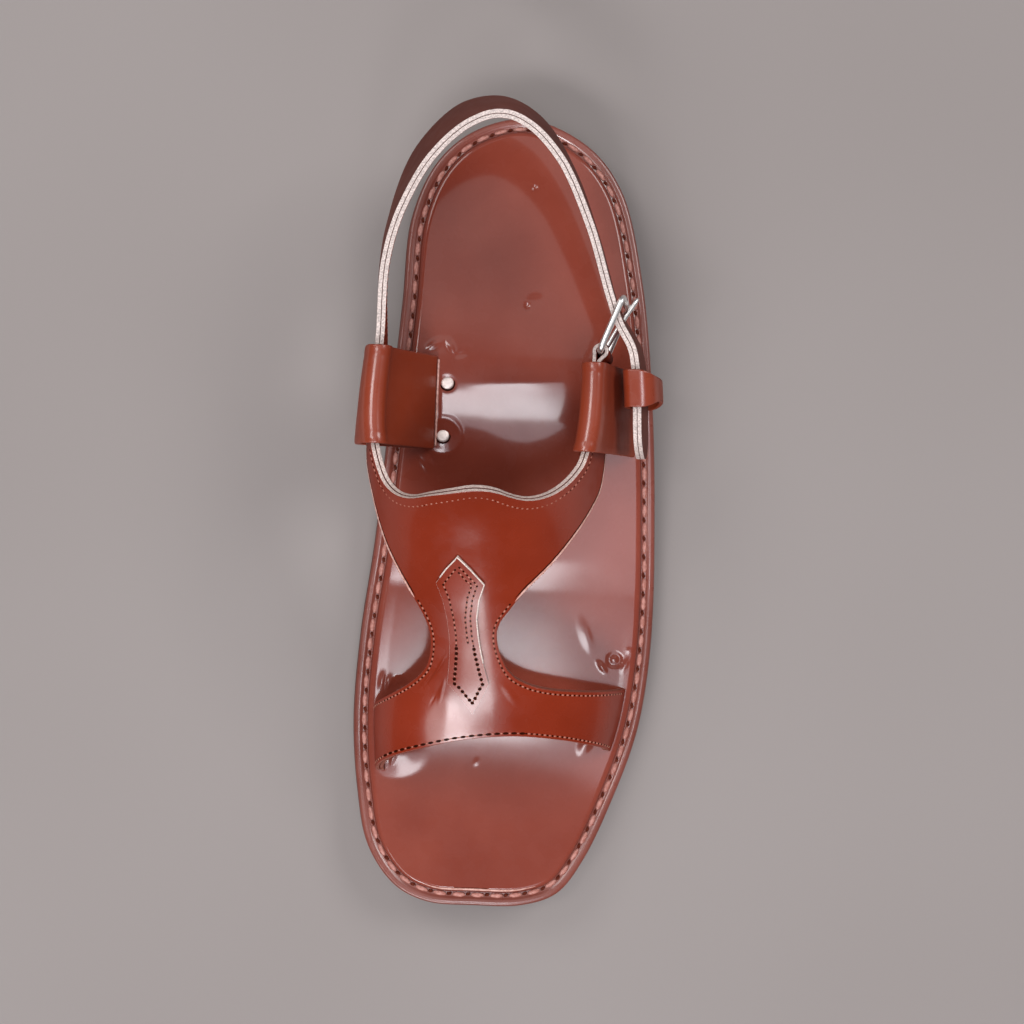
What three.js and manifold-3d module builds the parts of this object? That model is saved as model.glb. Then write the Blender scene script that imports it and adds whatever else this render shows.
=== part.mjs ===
// A man's kohati chappal for the left foot: a T-strap leather sandal on a welted sole,
// with a strap round the heel, two side loops and a side buckle.
// Millimetres, +Z up, toe to -Y, outer (little toe) side to +X. The origin is the centre
// of the heel where it stands on the ground.
import * as THREE from "three";
import Module from "manifold-3d";

const wasm = await Module();
wasm.setup();

// Driving dimensions
const soleLength = 282; // outsole, heel back to toe edge
const ballWidth = 108; // outsole at its widest
const heelSeat = 36; // heel back edge behind the origin
const heelHeight = 13; // heel block, up to the outsole
const toeSpring = 7; // rise of the sole at the toe
const outsoleThick = 8;
const weltThick = 3.2;
const weltWide = 5;
const insoleThick = 5.2;
const rimWide = 2; // insole left outside the strap ends
const leatherThick = 3; // vamp and back strap, outer and lining together
const loopThick = 2.2;
const overlayThick = 1.6;
const instepRise = 100; // last above the footbed, at its highest section
const strapWide = 22;
const strapFoot = 12; // lower edge of the side straps above the heel's footbed
const wire = 2.2; // buckle wire
const gap = 0.3; // clearance between neighbouring parts

// Sole outline: along is from the heel back, as a share of sole length; side is from the
// centre line, as a share of ball width, outer side positive. It runs heel, outer side,
// toe, inner side.
const outline = [
  { along: 0, side: 0 },
  { along: 0.03, side: 0.2 },
  { along: 0.085, side: 0.32 },
  { along: 0.2, side: 0.402 },
  { along: 0.36, side: 0.455 },
  { along: 0.5, side: 0.486 },
  { along: 0.6, side: 0.497 },
  { along: 0.7, side: 0.487 },
  { along: 0.78, side: 0.455 },
  { along: 0.86, side: 0.385 },
  { along: 0.94, side: 0.29 },
  { along: 0.982, side: 0.205 },
  { along: 0.998, side: 0.09 },
  { along: 1, side: -0.08 },
  { along: 0.997, side: -0.23 },
  { along: 0.978, side: -0.34 },
  { along: 0.93, side: -0.435 },
  { along: 0.86, side: -0.478 },
  { along: 0.77, side: -0.5 },
  { along: 0.66, side: -0.488 },
  { along: 0.54, side: -0.452 },
  { along: 0.4, side: -0.422 },
  { along: 0.24, side: -0.39 },
  { along: 0.13, side: -0.37 },
  { along: 0.06, side: -0.295 },
  { along: 0.018, side: -0.175 },
];

// Sections of the last: crown is its height over the footbed, as a share of the instep
// rise; sway and spread move and widen it, as shares of ball width; lean is its tilt to
// the inner side for each unit of height.
const last = [
  { along: 0.28, crown: 1.0, sway: -0.09, spread: 0.02, lean: -0.13 },
  { along: 0.36, crown: 0.9, sway: -0.098, spread: 0.02, lean: -0.13 },
  { along: 0.42, crown: 0.75, sway: -0.1, spread: 0.018, lean: -0.13 },
  { along: 0.475, crown: 0.59, sway: -0.092, spread: 0.008, lean: -0.14 },
  { along: 0.54, crown: 0.51, sway: -0.074, spread: 0, lean: -0.17 },
  { along: 0.6, crown: 0.44, sway: -0.046, spread: 0, lean: -0.2 },
  { along: 0.66, crown: 0.37, sway: -0.018, spread: 0, lean: -0.22 },
  { along: 0.72, crown: 0.305, sway: 0, spread: 0, lean: -0.22 },
  { along: 0.78, crown: 0.26, sway: 0, spread: 0, lean: -0.2 },
  { along: 0.86, crown: 0.2, sway: 0, spread: 0, lean: -0.15 },
];

const toY = (along) => heelSeat - along * soleLength;
const toAlong = (y) => (heelSeat - y) / soleLength;

// A smooth value from a table's column at a station along the sole.
function fair(rows, key, along) {
  const end = rows.length - 1;
  if (along <= rows[0].along) return rows[0][key];
  if (along >= rows[end].along) return rows[end][key];
  let i = 0;
  while (rows[i + 1].along < along) i++;
  const row = (k) => rows[Math.min(end, Math.max(0, k))];
  const slope = (k) => (row(k + 1)[key] - row(k - 1)[key]) / (row(k + 1).along - row(k - 1).along);
  const step = rows[i + 1].along - rows[i].along;
  const t = (along - rows[i].along) / step;
  const rise = t * t * (3 - 2 * t);
  const bend = (t ** 3 - 2 * t ** 2 + t) * slope(i) + (t ** 3 - t ** 2) * slope(i + 1);
  return rows[i][key] * (1 - rise) + rows[i + 1][key] * rise + bend * step;
}

const edge = new THREE.CatmullRomCurve3(
  outline.map((p) => new THREE.Vector3(p.side * ballWidth, toY(p.along), 0)),
  true,
  "centripetal",
);
edge.arcLengthDivisions = 1200;

// The point of the outline at a share of its length, moved in from the edge by an inset.
function edgePoint(share, inset) {
  const u = share - Math.floor(share);
  const p = edge.getPointAt(u);
  const t = edge.getTangentAt(u);
  return new THREE.Vector3(p.x + t.y * inset, p.y - t.x * inset, 0);
}

const outlineCount = 84;
const footprint = (inset) =>
  Array.from({ length: outlineCount }, (_, i) => edgePoint((i + 0.5) / outlineCount, inset));

// Width of the inset outline at a station: its x on one side (+1 outer, -1 inner).
const tracks = new Map();
function edgeX(side, y, inset) {
  if (!tracks.has(inset)) {
    const count = 480;
    tracks.set(inset, Array.from({ length: count }, (_, i) => edgePoint(i / count, inset)));
  }
  const track = tracks.get(inset);
  const half = track.length / 2;
  let x = 0;
  track.forEach((p, i) => {
    const q = track[(i + 1) % track.length];
    const outer = i < half;
    if (outer !== side > 0 || p.y === q.y || (p.y - y) * (q.y - y) > 0) return;
    x = p.x + ((q.x - p.x) * (y - p.y)) / (q.y - p.y);
  });
  return x;
}

// Heights: the outsole's underside, and the top of the insole that the foot stands on.
const ease = (t) => THREE.MathUtils.smoothstep(t, 0, 1);
const archFrom = 0.3;
const archTo = 0.6;
const springFrom = 0.78;
function soleLine(y) {
  const along = toAlong(y);
  const arch = ease((archTo - along) / (archTo - archFrom));
  const spring = Math.max(0, (along - springFrom) / (1 - springFrom)) ** 1.8;
  return heelHeight * arch + toeSpring * spring;
}
const weltFoot = outsoleThick + gap;
const footbed = (y) => soleLine(y) + weltFoot + insoleThick;

function solid(positions, index) {
  const geometry = new THREE.BufferGeometry();
  geometry.setAttribute("position", new THREE.Float32BufferAttribute(positions, 3));
  geometry.setIndex(index);
  geometry.computeVertexNormals();
  return geometry;
}

// Rings one over another, each clockwise from above, capped straight across.
function stack(rings) {
  const n = rings[0].length;
  const top = (rings.length - 1) * n;
  const index = [];
  for (let k = 0; k < top; k += n) {
    for (let i = 0; i < n; i++) {
      const j = (i + 1) % n;
      index.push(k + i, k + n + i, k + n + j, k + i, k + n + j, k + j);
    }
  }
  for (let i = 0; i + 1 < n / 2; i++) {
    const [a, b, c, d] = [i, n - 1 - i, n - 2 - i, i + 1];
    index.push(top + a, top + b, top + c, top + a, top + c, top + d);
    index.push(a, c, b, a, d, c);
  }
  return solid(rings.flat().flatMap((p) => p.toArray()), index);
}

const lifted = (ring, lift) => ring.map((p) => new THREE.Vector3(p.x, p.y, soleLine(p.y) + lift));

// A band all round the sole with a closed profile of inset and lift.
function hoop(profile) {
  const rings = profile.map(([inset, lift]) => lifted(footprint(inset), lift));
  const n = outlineCount;
  const index = [];
  for (let k = 0; k < rings.length; k++) {
    const [low, high] = [k * n, ((k + 1) % rings.length) * n];
    for (let i = 0; i < n; i++) {
      const j = (i + 1) % n;
      index.push(low + i, high + i, high + j, low + i, high + j, low + j);
    }
  }
  return solid(rings.flat().flatMap((p) => p.toArray()), index);
}

// A sheet of leather: each point gives its place at a depth through the sheet, faces join
// the points, and every open edge is walled.
function sheet(points, faces, low, high) {
  const n = points.length;
  const positions = [high, low].flatMap((w) => points.flatMap((p) => p(w).toArray()));
  const index = [];
  const open = new Map();
  for (const face of faces) {
    for (let k = 1; k + 1 < face.length; k++) {
      index.push(face[0], face[k], face[k + 1]);
      index.push(face[0] + n, face[k + 1] + n, face[k] + n);
    }
    face.forEach((a, k) => {
      const b = face[(k + 1) % face.length];
      if (!open.delete(`${b},${a}`)) open.set(`${a},${b}`, [a, b]);
    });
  }
  for (const [a, b] of open.values()) index.push(b, a, a + n, b, a + n, b + n);
  return solid(positions, index);
}

// Leather of even thickness about a grid of middle points.
function leather(rows, thick, closed = false) {
  const m = rows.length;
  const n = rows[0].length;
  const wrap = (i) => (closed ? (i + m) % m : Math.min(m - 1, Math.max(0, i)));
  const clamp = (j) => Math.min(n - 1, Math.max(0, j));
  const points = [];
  const faces = [];
  for (let i = 0; i < m; i++) {
    for (let j = 0; j < n; j++) {
      const down = rows[wrap(i + 1)][j].clone().sub(rows[wrap(i - 1)][j]);
      const across = rows[i][clamp(j + 1)].clone().sub(rows[i][clamp(j - 1)]);
      const normal = down.cross(across).normalize();
      points.push((w) => rows[i][j].clone().addScaledVector(normal, w));
      const next = wrap(i + 1);
      if (j + 1 < n && (closed || i + 1 < m)) {
        faces.push([i * n + j, next * n + j, next * n + j + 1, i * n + j + 1]);
      }
    }
  }
  return sheet(points, faces, -thick / 2, thick / 2);
}

// The last: its surface at an angle round from the inner seam (0) over the top to the
// outer seam (180), and at a share along the sole.
const seamInset = weltWide + 2 * gap + rimWide + gap;
const strapInset = seamInset + leatherThick;
const radians = THREE.MathUtils.degToRad;

function section(along) {
  const y = toY(along);
  const inner = edgeX(-1, y, strapInset);
  const outer = edgeX(1, y, strapInset);
  return {
    y,
    base: footbed(y),
    middle: (inner + outer) / 2 + fair(last, "sway", along) * ballWidth,
    half: (outer - inner) / 2 + fair(last, "spread", along) * ballWidth,
    crown: fair(last, "crown", along) * instepRise,
    lean: fair(last, "lean", along),
  };
}

function onLast(angle, along) {
  const s = section(along);
  const up = s.crown * Math.sin(radians(angle));
  const x = s.middle + s.lean * up - s.half * Math.cos(radians(angle));
  return new THREE.Vector3(x, s.y, s.base + up);
}

function offLast(angle, along, w) {
  const turn = 0.5;
  const step = 0.002;
  const round = onLast(angle + turn, along).sub(onLast(angle - turn, along));
  const down = onLast(angle, along + step).sub(onLast(angle, along - step));
  return onLast(angle, along).addScaledVector(down.cross(round).normalize(), w);
}

// Down in the slit between insole and rim, on one side of the sole.
function inSlit(side, along, drop, w) {
  const y = toY(along);
  return new THREE.Vector3(edgeX(side, y, strapInset - w), y, footbed(y) - drop);
}

// The angle at which the last is at a height, on one side.
function angleAt(side, along, height) {
  const s = section(along);
  const angle = THREE.MathUtils.radToDeg(Math.asin(Math.min(1, (height - s.base) / s.crown)));
  return side < 0 ? angle : 180 - angle;
}

const strapLow = footbed(0) + strapFoot;
const strapHigh = strapLow + strapWide;

// Edges of the vamp on the last, as angle and share along.
const frontEdge = [
  { angle: 0, along: 0.832 },
  { angle: 18, along: 0.8195 },
  { angle: 39, along: 0.8032 },
  { angle: 56, along: 0.791 },
  { angle: 80, along: 0.7751 },
  { angle: 103, along: 0.7684 },
  { angle: 125, along: 0.7727 },
  { angle: 148, along: 0.7824 },
  { angle: 180, along: 0.797 },
];
const innerWindow = [
  { angle: 0, along: 0.752 },
  { angle: 20, along: 0.74 },
  { angle: 38, along: 0.7246 },
  { angle: 53, along: 0.7051 },
  { angle: 62.2, along: 0.6843 },
  { angle: 65.8, along: 0.6586 },
  { angle: 65.9, along: 0.637 },
  { angle: 63.7, along: 0.6199 },
  { angle: 58.2, along: 0.5962 },
  { angle: 50.2, along: 0.5661 },
  { angle: 41.9, along: 0.5368 },
  { angle: 35, along: 0.5104 },
  { angle: 25, along: 0.47 },
];
const outerWindow = [
  { angle: 180, along: 0.7175 },
  { angle: 160, along: 0.716 },
  { angle: 136, along: 0.7134 },
  { angle: 117, along: 0.7083 },
  { angle: 107.7, along: 0.7008 },
  { angle: 101.6, along: 0.69 },
  { angle: 98.4, along: 0.672 },
  { angle: 96.8, along: 0.647 },
  { angle: 98.1, along: 0.6292 },
  { angle: 103, along: 0.6114 },
  { angle: 111.2, along: 0.5867 },
  { angle: 126, along: 0.5517 },
  { angle: 139.7, along: 0.5174 },
  { angle: 150.5, along: 0.4893 },
  { angle: 161, along: 0.4612 },
];
const throat = [
  { angle: 40, along: 0.4595 },
  { angle: 49, along: 0.4748 },
  { angle: 58.6, along: 0.4793 },
  { angle: 70, along: 0.4745 },
  { angle: 80, along: 0.4701 },
  { angle: 90, along: 0.4657 },
  { angle: 99.3, along: 0.4669 },
  { angle: 108.6, along: 0.4744 },
  { angle: 115, along: 0.4764 },
  { angle: 123.8, along: 0.4719 },
  { angle: 133.7, along: 0.4592 },
  { angle: 141.7, along: 0.444 },
];

// Where the vamp's side straps end, inside the loops.
const innerEnd = 0.362;
const outerEnd = 0.333;
const atHeight = (side, along, height) => ({ angle: angleAt(side, along, height), along });
const wing = (side, height, stations) => stations.map((along) => atHeight(side, along, height));
const innerStations = [0.43, 0.395, innerEnd];
const outerStations = [0.43, 0.39, outerEnd];

const spline = (points) =>
  new THREE.CatmullRomCurve3(
    points.map((p) => new THREE.Vector3(p.angle, p.along * 300, 0)),
    false,
    "centripetal",
  );
const innerEdge = spline([...innerWindow, ...wing(-1, strapLow, innerStations)]);
const outerEdge = spline([...outerWindow, ...wing(1, strapLow, outerStations)]);
const throatEdge = spline([
  ...wing(-1, strapHigh, innerStations).reverse(),
  ...throat,
  ...wing(1, strapHigh, outerStations),
]);
const frontLine = spline(frontEdge);

// Share of a spline's length at which it passes an angle, or a station along the sole.
function share(curve, test) {
  const count = 400;
  for (let i = 0; i <= count; i++) {
    const p = curve.getPointAt(i / count);
    if (test(p.x, p.y / 300)) return i / count;
  }
  return 1;
}
function span(curve, from, to, count) {
  return Array.from({ length: count + 1 }, (_, i) => {
    const p = curve.getPointAt(from + ((to - from) * i) / count);
    return { angle: p.x, along: p.y / 300 };
  });
}
const straight = (a, b, count) =>
  Array.from({ length: count + 1 }, (_, i) => ({
    angle: a.angle + ((b.angle - a.angle) * i) / count,
    along: a.along + ((b.along - a.along) * i) / count,
  }));

function makeVamp() {
  const points = [];
  const faces = [];
  const seen = new Map();
  const point = (p) => {
    const key = `${p.angle.toFixed(4)} ${p.along.toFixed(6)} ${(p.drop ?? 0).toFixed(3)}`;
    if (!seen.has(key)) {
      seen.set(key, points.length);
      const atSeam = p.angle < 0.01 || p.angle > 179.99;
      const side = p.angle < 90 ? -1 : 1;
      points.push(
        atSeam
          ? (w) => inSlit(side, p.along, p.drop ?? 0, w)
          : (w) => offLast(p.angle, p.along, w),
      );
    }
    return seen.get(key);
  };
  // Columns from one edge to the other, laid side by side from the inner side outward.
  const lay = (upper, lower, count) => {
    const columns = upper.map((p, i) => straight(p, lower[i], count).map(point));
    for (let i = 0; i + 1 < columns.length; i++) {
      for (let j = 0; j < count; j++) {
        const [a, b] = [columns[i], columns[i + 1]];
        faces.push([a[j], a[j + 1], b[j + 1], b[j]]);
      }
    }
  };

  const acrossCount = 6;
  const neckAlong = 0.684;
  const bandAlong = 0.58;
  const innerNeck = share(innerEdge, (a, l) => l < neckAlong);
  const outerNeck = share(outerEdge, (a, l) => l < neckAlong);
  const innerBand = share(innerEdge, (a, l) => l < bandAlong);
  const outerBand = share(outerEdge, (a, l) => l < bandAlong);
  const at = (curve, u) => span(curve, u, u, 1)[0];

  // Front bar
  const sideCount = 9;
  const innerBar = span(innerEdge, 0, innerNeck, sideCount);
  const outerBar = span(outerEdge, 0, outerNeck, sideCount).reverse();
  const neck = straight(at(innerEdge, innerNeck), at(outerEdge, outerNeck), acrossCount);
  const barRear = [...innerBar.slice(0, -1), ...neck, ...outerBar.slice(1)];
  const barFront = barRear.map((p) => at(frontLine, share(frontLine, (a) => a >= p.angle - 1e-6)));
  barFront[0] = { angle: 0, along: frontEdge[0].along };
  barFront[barFront.length - 1] = { angle: 180, along: frontEdge.at(-1).along };
  const drop = insoleThick - gap;
  const sunk = (p) => ({ ...p, drop });
  const barCount = 6;
  lay(barRear, barFront, barCount);
  const tuck = (p, q, flip) => {
    const upper = straight(p, q, barCount);
    const rows = [upper.map(sunk), upper];
    if (flip) rows.reverse();
    const [a, b] = rows.map((row) => row.map(point));
    for (let j = 0; j < barCount; j++) faces.push([a[j], a[j + 1], b[j + 1], b[j]]);
  };
  tuck(barRear[0], barFront[0], false);
  tuck(barRear.at(-1), barFront.at(-1), true);

  // Neck of the T
  const neckCount = 7;
  const innerSide = span(innerEdge, innerNeck, innerBand, neckCount);
  const outerSide = span(outerEdge, outerNeck, outerBand, neckCount);
  const rows = innerSide.map((p, i) => straight(p, outerSide[i], acrossCount));
  for (let k = 0; k < neckCount; k++) {
    const [lower, upper] = [rows[k].map(point), rows[k + 1].map(point)];
    for (let j = 0; j < acrossCount; j++) {
      faces.push([upper[j], lower[j], lower[j + 1], upper[j + 1]]);
    }
  }

  // Instep band with its two side straps
  const wingCount = 10;
  const shoulder = 67;
  const innerThroat = share(throatEdge, (a) => a >= shoulder);
  const outerThroat = share(throatEdge, (a) => a >= 180 - shoulder);
  const innerLow = span(innerEdge, innerBand, 1, wingCount).reverse();
  const outerLow = span(outerEdge, outerBand, 1, wingCount);
  const bandLow = [...innerLow.slice(0, -1), ...rows[neckCount], ...outerLow.slice(1)];
  const bandHigh = [
    ...span(throatEdge, 0, innerThroat, wingCount).slice(0, -1),
    ...span(throatEdge, innerThroat, outerThroat, acrossCount),
    ...span(throatEdge, outerThroat, 1, wingCount).slice(1),
  ];
  const bandCount = 5;
  lay(bandHigh, bandLow, bandCount);
  return sheet(points, faces, 0, leatherThick);
}

// The overlay down the T: angles of its inner and outer edges at stations along.
const overlay = [
  { along: 0.5439, inner: 82.9, outer: 82.9 },
  { along: 0.559, inner: 77.5, outer: 88.2 },
  { along: 0.5765, inner: 72.4, outer: 93.4 },
  { along: 0.596, inner: 74.8, outer: 90.6 },
  { along: 0.619, inner: 76, outer: 88.9 },
  { along: 0.64, inner: 76.2, outer: 88.8 },
  { along: 0.66, inner: 75.6, outer: 89.2 },
  { along: 0.682, inner: 74.2, outer: 90.2 },
  { along: 0.7, inner: 72.9, outer: 91.4 },
  { along: 0.721, inner: 78.8, outer: 87.6 },
  { along: 0.7392, inner: 84, outer: 84 },
];

function makeOverlay() {
  const acrossCount = 4;
  const points = [];
  const faces = [];
  const rows = overlay.map((row, k) => {
    const tip = k === 0 || k === overlay.length - 1;
    return Array.from({ length: tip ? 1 : acrossCount + 1 }, (_, j) => {
      const angle = row.inner + ((row.outer - row.inner) * j) / acrossCount;
      points.push((w) => offLast(angle, row.along, w));
      return points.length - 1;
    });
  });
  for (let k = 0; k + 1 < rows.length; k++) {
    for (let j = 0; j < acrossCount; j++) {
      const [a, b] = [rows[k], rows[k + 1]];
      const face = [a[j] ?? a[0], b[j] ?? b[0], b[j + 1] ?? b[0], a[j + 1] ?? a[0]];
      faces.push(face.filter((v, i) => v !== face[(i + 1) % face.length]));
    }
  }
  const seat = leatherThick + gap;
  return sheet(points, faces, seat, seat + overlayThick);
}

// Side loops: a strip of leather from a slit in the insole up inside the side strap, over
// its top and down to the seam. Points are x, height over the footbed (from the insole)
// and depth off the last (from the strap).
const loopFrom = { inner: 0.305, outer: 0.3145 };
const loopTo = 0.421;
const loopStations = 5;
const slitDeep = insoleThick - gap;
const loopEase = 0.25; // slack of the fold round the strap
const loopSlit = { inner: -0.278, outer: 0.222 }; // from the centre line, shares of ball width

function loopPath(side, along) {
  const y = toY(along);
  const clear = loopThick / 2 + gap + loopEase;
  const offStrap = (height, w) => offLast(angleAt(side, along, height), along, w);
  const foot = (side < 0 ? loopSlit.inner : loopSlit.outer) * ballWidth;
  const base = footbed(y);
  const seam = edgeX(side, y, seamInset + loopThick / 2);
  const share = (part) => strapLow + strapWide * part;
  const point = (x, z) => new THREE.Vector3(x, y, z);
  // The fold is a half circle round the strap's top edge.
  const top = offStrap(strapHigh, leatherThick / 2);
  const out = offStrap(strapHigh, leatherThick).sub(top).setY(0).normalize();
  const up = new THREE.Vector3(0, 0, 1).addScaledVector(out, -out.z).setY(0).normalize();
  const reach = leatherThick / 2 + clear;
  const fold = [0, 0.25, 0.5, 0.75, 1].map((turn) => {
    const [c, s] = [Math.cos(turn * Math.PI), Math.sin(turn * Math.PI)];
    return top.clone().addScaledVector(out, -c * reach).addScaledVector(up, s * reach);
  });
  const inside = offStrap(share(side < 0 ? 0.8 : 0.6), -clear);
  const innerLeg =
    side < 0
      ? [point(foot + (inside.x - foot) * 0.5, base + (inside.z - base) * 0.5), inside]
      : [offStrap(share(0.1), -clear), inside];
  const outerLeg =
    side < 0
      ? [
          offStrap(share(0.7), leatherThick + clear + 0.8),
          offStrap(share(0.35), leatherThick + clear + 1),
          offStrap(share(0), leatherThick + clear + 0.8),
        ]
      : [offStrap(share(0.72), leatherThick + clear + 0.5)];
  const points = [point(foot, base + 1), ...innerLeg, ...fold, ...outerLeg, point(seam, base + 1)];
  points.forEach((p) => (p.y = y));
  const stepCount = 28;
  const line = new THREE.CatmullRomCurve3(points, false, "centripetal");
  const [start, end] = [point(foot, base - slitDeep), point(seam, base - slitDeep)];
  return [start, ...line.getSpacedPoints(stepCount), end];
}

function makeLoop(side) {
  const columns = Array.from({ length: loopStations }, (_, j) => {
    const from = side < 0 ? loopFrom.inner : loopFrom.outer;
    const along = from + ((loopTo - from) * j) / (loopStations - 1);
    return loopPath(side, along);
  });
  const rows = columns[0].map((_, i) => columns.map((column) => column[i]));
  if (side > 0) rows.reverse();
  return leather(rows, loopThick);
}

// Back strap, from the inner loop round the heel and out through the buckle. Stations are
// the middle of the strap: side in ball widths, along in sole lengths, rise over the
// side straps' middle in strap widths, wide in strap widths, lean inward in degrees.
const backStrap = [
  { side: -0.445, along: 0.21, rise: 0.22, wide: 1.02, lean: 3 },
  { side: -0.413, along: 0.149, rise: 0.42, wide: 1.04, lean: 8 },
  { side: -0.329, along: 0.077, rise: 0.62, wide: 1.08, lean: 18 },
  { side: -0.203, along: 0.031, rise: 0.77, wide: 1.09, lean: 24 },
  { side: -0.097, along: 0.0215, rise: 0.78, wide: 1.09, lean: 23 },
  { side: 0.0, along: 0.037, rise: 0.74, wide: 1.09, lean: 19 },
  { side: 0.104, along: 0.082, rise: 0.6, wide: 1.05, lean: 12 },
  { side: 0.2, along: 0.157, rise: 0.34, wide: 0.96, lean: 9 },
  { side: 0.278, along: 0.237, rise: 0.0, wide: 0.79, lean: 9 },
  { side: 0.308, along: 0.2625, rise: -0.01, wide: 0.77, lean: 12 },
  { side: 0.355, along: 0.291, rise: -0.06, wide: 0.78, lean: 14 },
  { side: 0.374, along: 0.318, rise: -0.12, wide: 0.8, lean: 15 },
  { side: 0.383, along: 0.35, rise: -0.18, wide: 0.8, lean: 15 },
  { side: 0.389, along: 0.385, rise: -0.24, wide: 0.8, lean: 15 },
  { side: 0.397, along: 0.425, rise: -0.32, wide: 0.8, lean: 15 },
];
const tipLong = 10;

function strapMiddles() {
  const middle = (strapLow + strapHigh) / 2;
  const inLoop = [innerEnd - gap / soleLength, 0.335, 0.303].map((along) => {
    const p = offLast(angleAt(-1, along, middle), along, leatherThick / 2);
    const high = offLast(angleAt(-1, along, strapHigh), along, leatherThick / 2);
    const low = offLast(angleAt(-1, along, strapLow), along, leatherThick / 2);
    return { p, tall: high.sub(low).normalize(), wide: strapWide };
  });
  const rest = backStrap.map((s) => ({
    p: new THREE.Vector3(s.side * ballWidth, toY(s.along), middle + s.rise * strapWide),
    wide: s.wide * strapWide,
    lean: s.lean,
  }));
  return [...inLoop, ...rest];
}

function makeBackStrap() {
  const stops = strapMiddles();
  const path = new THREE.CatmullRomCurve3(stops.map((s) => s.p), false, "centripetal");
  const rowCount = 60;
  const acrossCount = 3;
  const up = new THREE.Vector3(0, 0, 1);
  // Where along the curve each stop is.
  const keys = stops.map((_, i) => i / (stops.length - 1));
  const rows = [];
  for (let i = 0; i <= rowCount; i++) {
    const u = i / rowCount;
    const p = path.getPoint(u);
    const t = path.getTangent(u).setZ(0).normalize();
    const k = Math.min(stops.length - 2, Math.floor(u * (stops.length - 1)));
    const f = u * (stops.length - 1) - k;
    const mix = (a, b) => a + (b - a) * f;
    const out = new THREE.Vector3().crossVectors(up, t);
    const lean = (s) => {
      if (s.lean !== undefined) return radians(s.lean);
      return Math.atan2(-s.tall.dot(out), s.tall.z);
    };
    const tilt = mix(lean(stops[k]), lean(stops[k + 1]));
    const tall = up.clone().multiplyScalar(Math.cos(tilt)).addScaledVector(out, -Math.sin(tilt));
    const left = path.getPoint(1).distanceTo(p);
    const point = left < tipLong && u > 0.5 ? Math.sqrt(Math.max(0.06, 1 - (1 - left / tipLong) ** 2)) : 1;
    const wide = mix(stops[k].wide, stops[k + 1].wide) * point;
    rows.push(
      Array.from({ length: acrossCount + 1 }, (_, j) =>
        p.clone().addScaledVector(tall, wide * (j / acrossCount - 0.5)),
      ),
    );
  }
  const hole = prongPoints();
  const bore = wireAlong([hole[0], hole[1], hole[2]], [1.4, 1.4, 1.4], up, false);
  return fromManifold(toManifold(leather(rows, leatherThick)).subtract(toManifold(bore)));
}

// Buckle: a rectangular wire frame on edge, its near bar in a fold at the end of the
// vamp's outer strap. Its middle bar position, reach and tilt:
const buckle = { side: 0.254, along: 0.302, rise: 0.0, long: 19.5, tall: 23.4, turn: 21, lean: 12 };

function buckleAxes() {
  const middle = (strapLow + strapHigh) / 2;
  const bar = new THREE.Vector3(
    buckle.side * ballWidth,
    toY(buckle.along),
    middle + buckle.rise * strapWide,
  );
  const turn = radians(buckle.turn);
  const long = new THREE.Vector3(Math.sin(turn), Math.cos(turn), 0);
  const out = new THREE.Vector3(Math.cos(turn), -Math.sin(turn), 0);
  const lean = radians(buckle.lean);
  const tall = new THREE.Vector3(0, 0, Math.cos(lean)).addScaledVector(out, -Math.sin(lean));
  const face = new THREE.Vector3(0, 0, Math.sin(lean)).addScaledVector(out, Math.cos(lean));
  const at = (l, t, f) =>
    bar.clone().addScaledVector(long, l).addScaledVector(tall, t).addScaledVector(face, f);
  return { at, long, tall, face };
}

// A round wire along a path of points, with a side direction held square to it.
function wireAlong(points, radii, side, closed) {
  const sideCount = 10;
  const n = points.length;
  const rows = points.map((p, i) => {
    const next = points[closed ? (i + 1) % n : Math.min(n - 1, i + 1)];
    const last = points[closed ? (i + n - 1) % n : Math.max(0, i - 1)];
    const t = next.clone().sub(last).normalize();
    const across = side.clone().addScaledVector(t, -side.dot(t)).normalize();
    const other = t.clone().cross(across);
    return Array.from({ length: sideCount }, (_, k) => {
      const a = (2 * Math.PI * k) / sideCount;
      return p
        .clone()
        .addScaledVector(across, radii[i] * Math.cos(a))
        .addScaledVector(other, radii[i] * Math.sin(a));
    });
  });
  const index = [];
  for (let i = 0; i < (closed ? n : n - 1); i++) {
    const [a, b] = [i * sideCount, ((i + 1) % n) * sideCount];
    for (let k = 0; k < sideCount; k++) {
      const m = (k + 1) % sideCount;
      index.push(a + k, a + m, b + m, a + k, b + m, b + k);
    }
  }
  if (!closed) {
    const end = (n - 1) * sideCount;
    for (let k = 1; k + 1 < sideCount; k++) {
      index.push(0, k + 1, k);
      index.push(end, end + k, end + k + 1);
    }
  }
  return solid(rows.flat().flatMap((p) => p.toArray()), index);
}

const cornerRadius = 2.2;
function makeBuckleFrame() {
  const { at, face } = buckleAxes();
  const high = (buckle.tall - wire) / 2;
  const points = [];
  const corners = [
    [0, -high, 180],
    [buckle.long, -high, 270],
    [buckle.long, high, 0],
    [0, high, 90],
  ];
  for (const [l, t, from] of corners) {
    const inward = (v) => v + (v > 0 ? -cornerRadius : cornerRadius);
    const [cl, ct] = [inward(l), inward(t)];
    for (let k = 0; k <= 3; k++) {
      const a = radians(from + k * 30);
      points.push(at(cl + cornerRadius * Math.cos(a), ct + cornerRadius * Math.sin(a), 0));
    }
  }
  return wireAlong(points, points.map(() => wire / 2), face, true);
}

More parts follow.
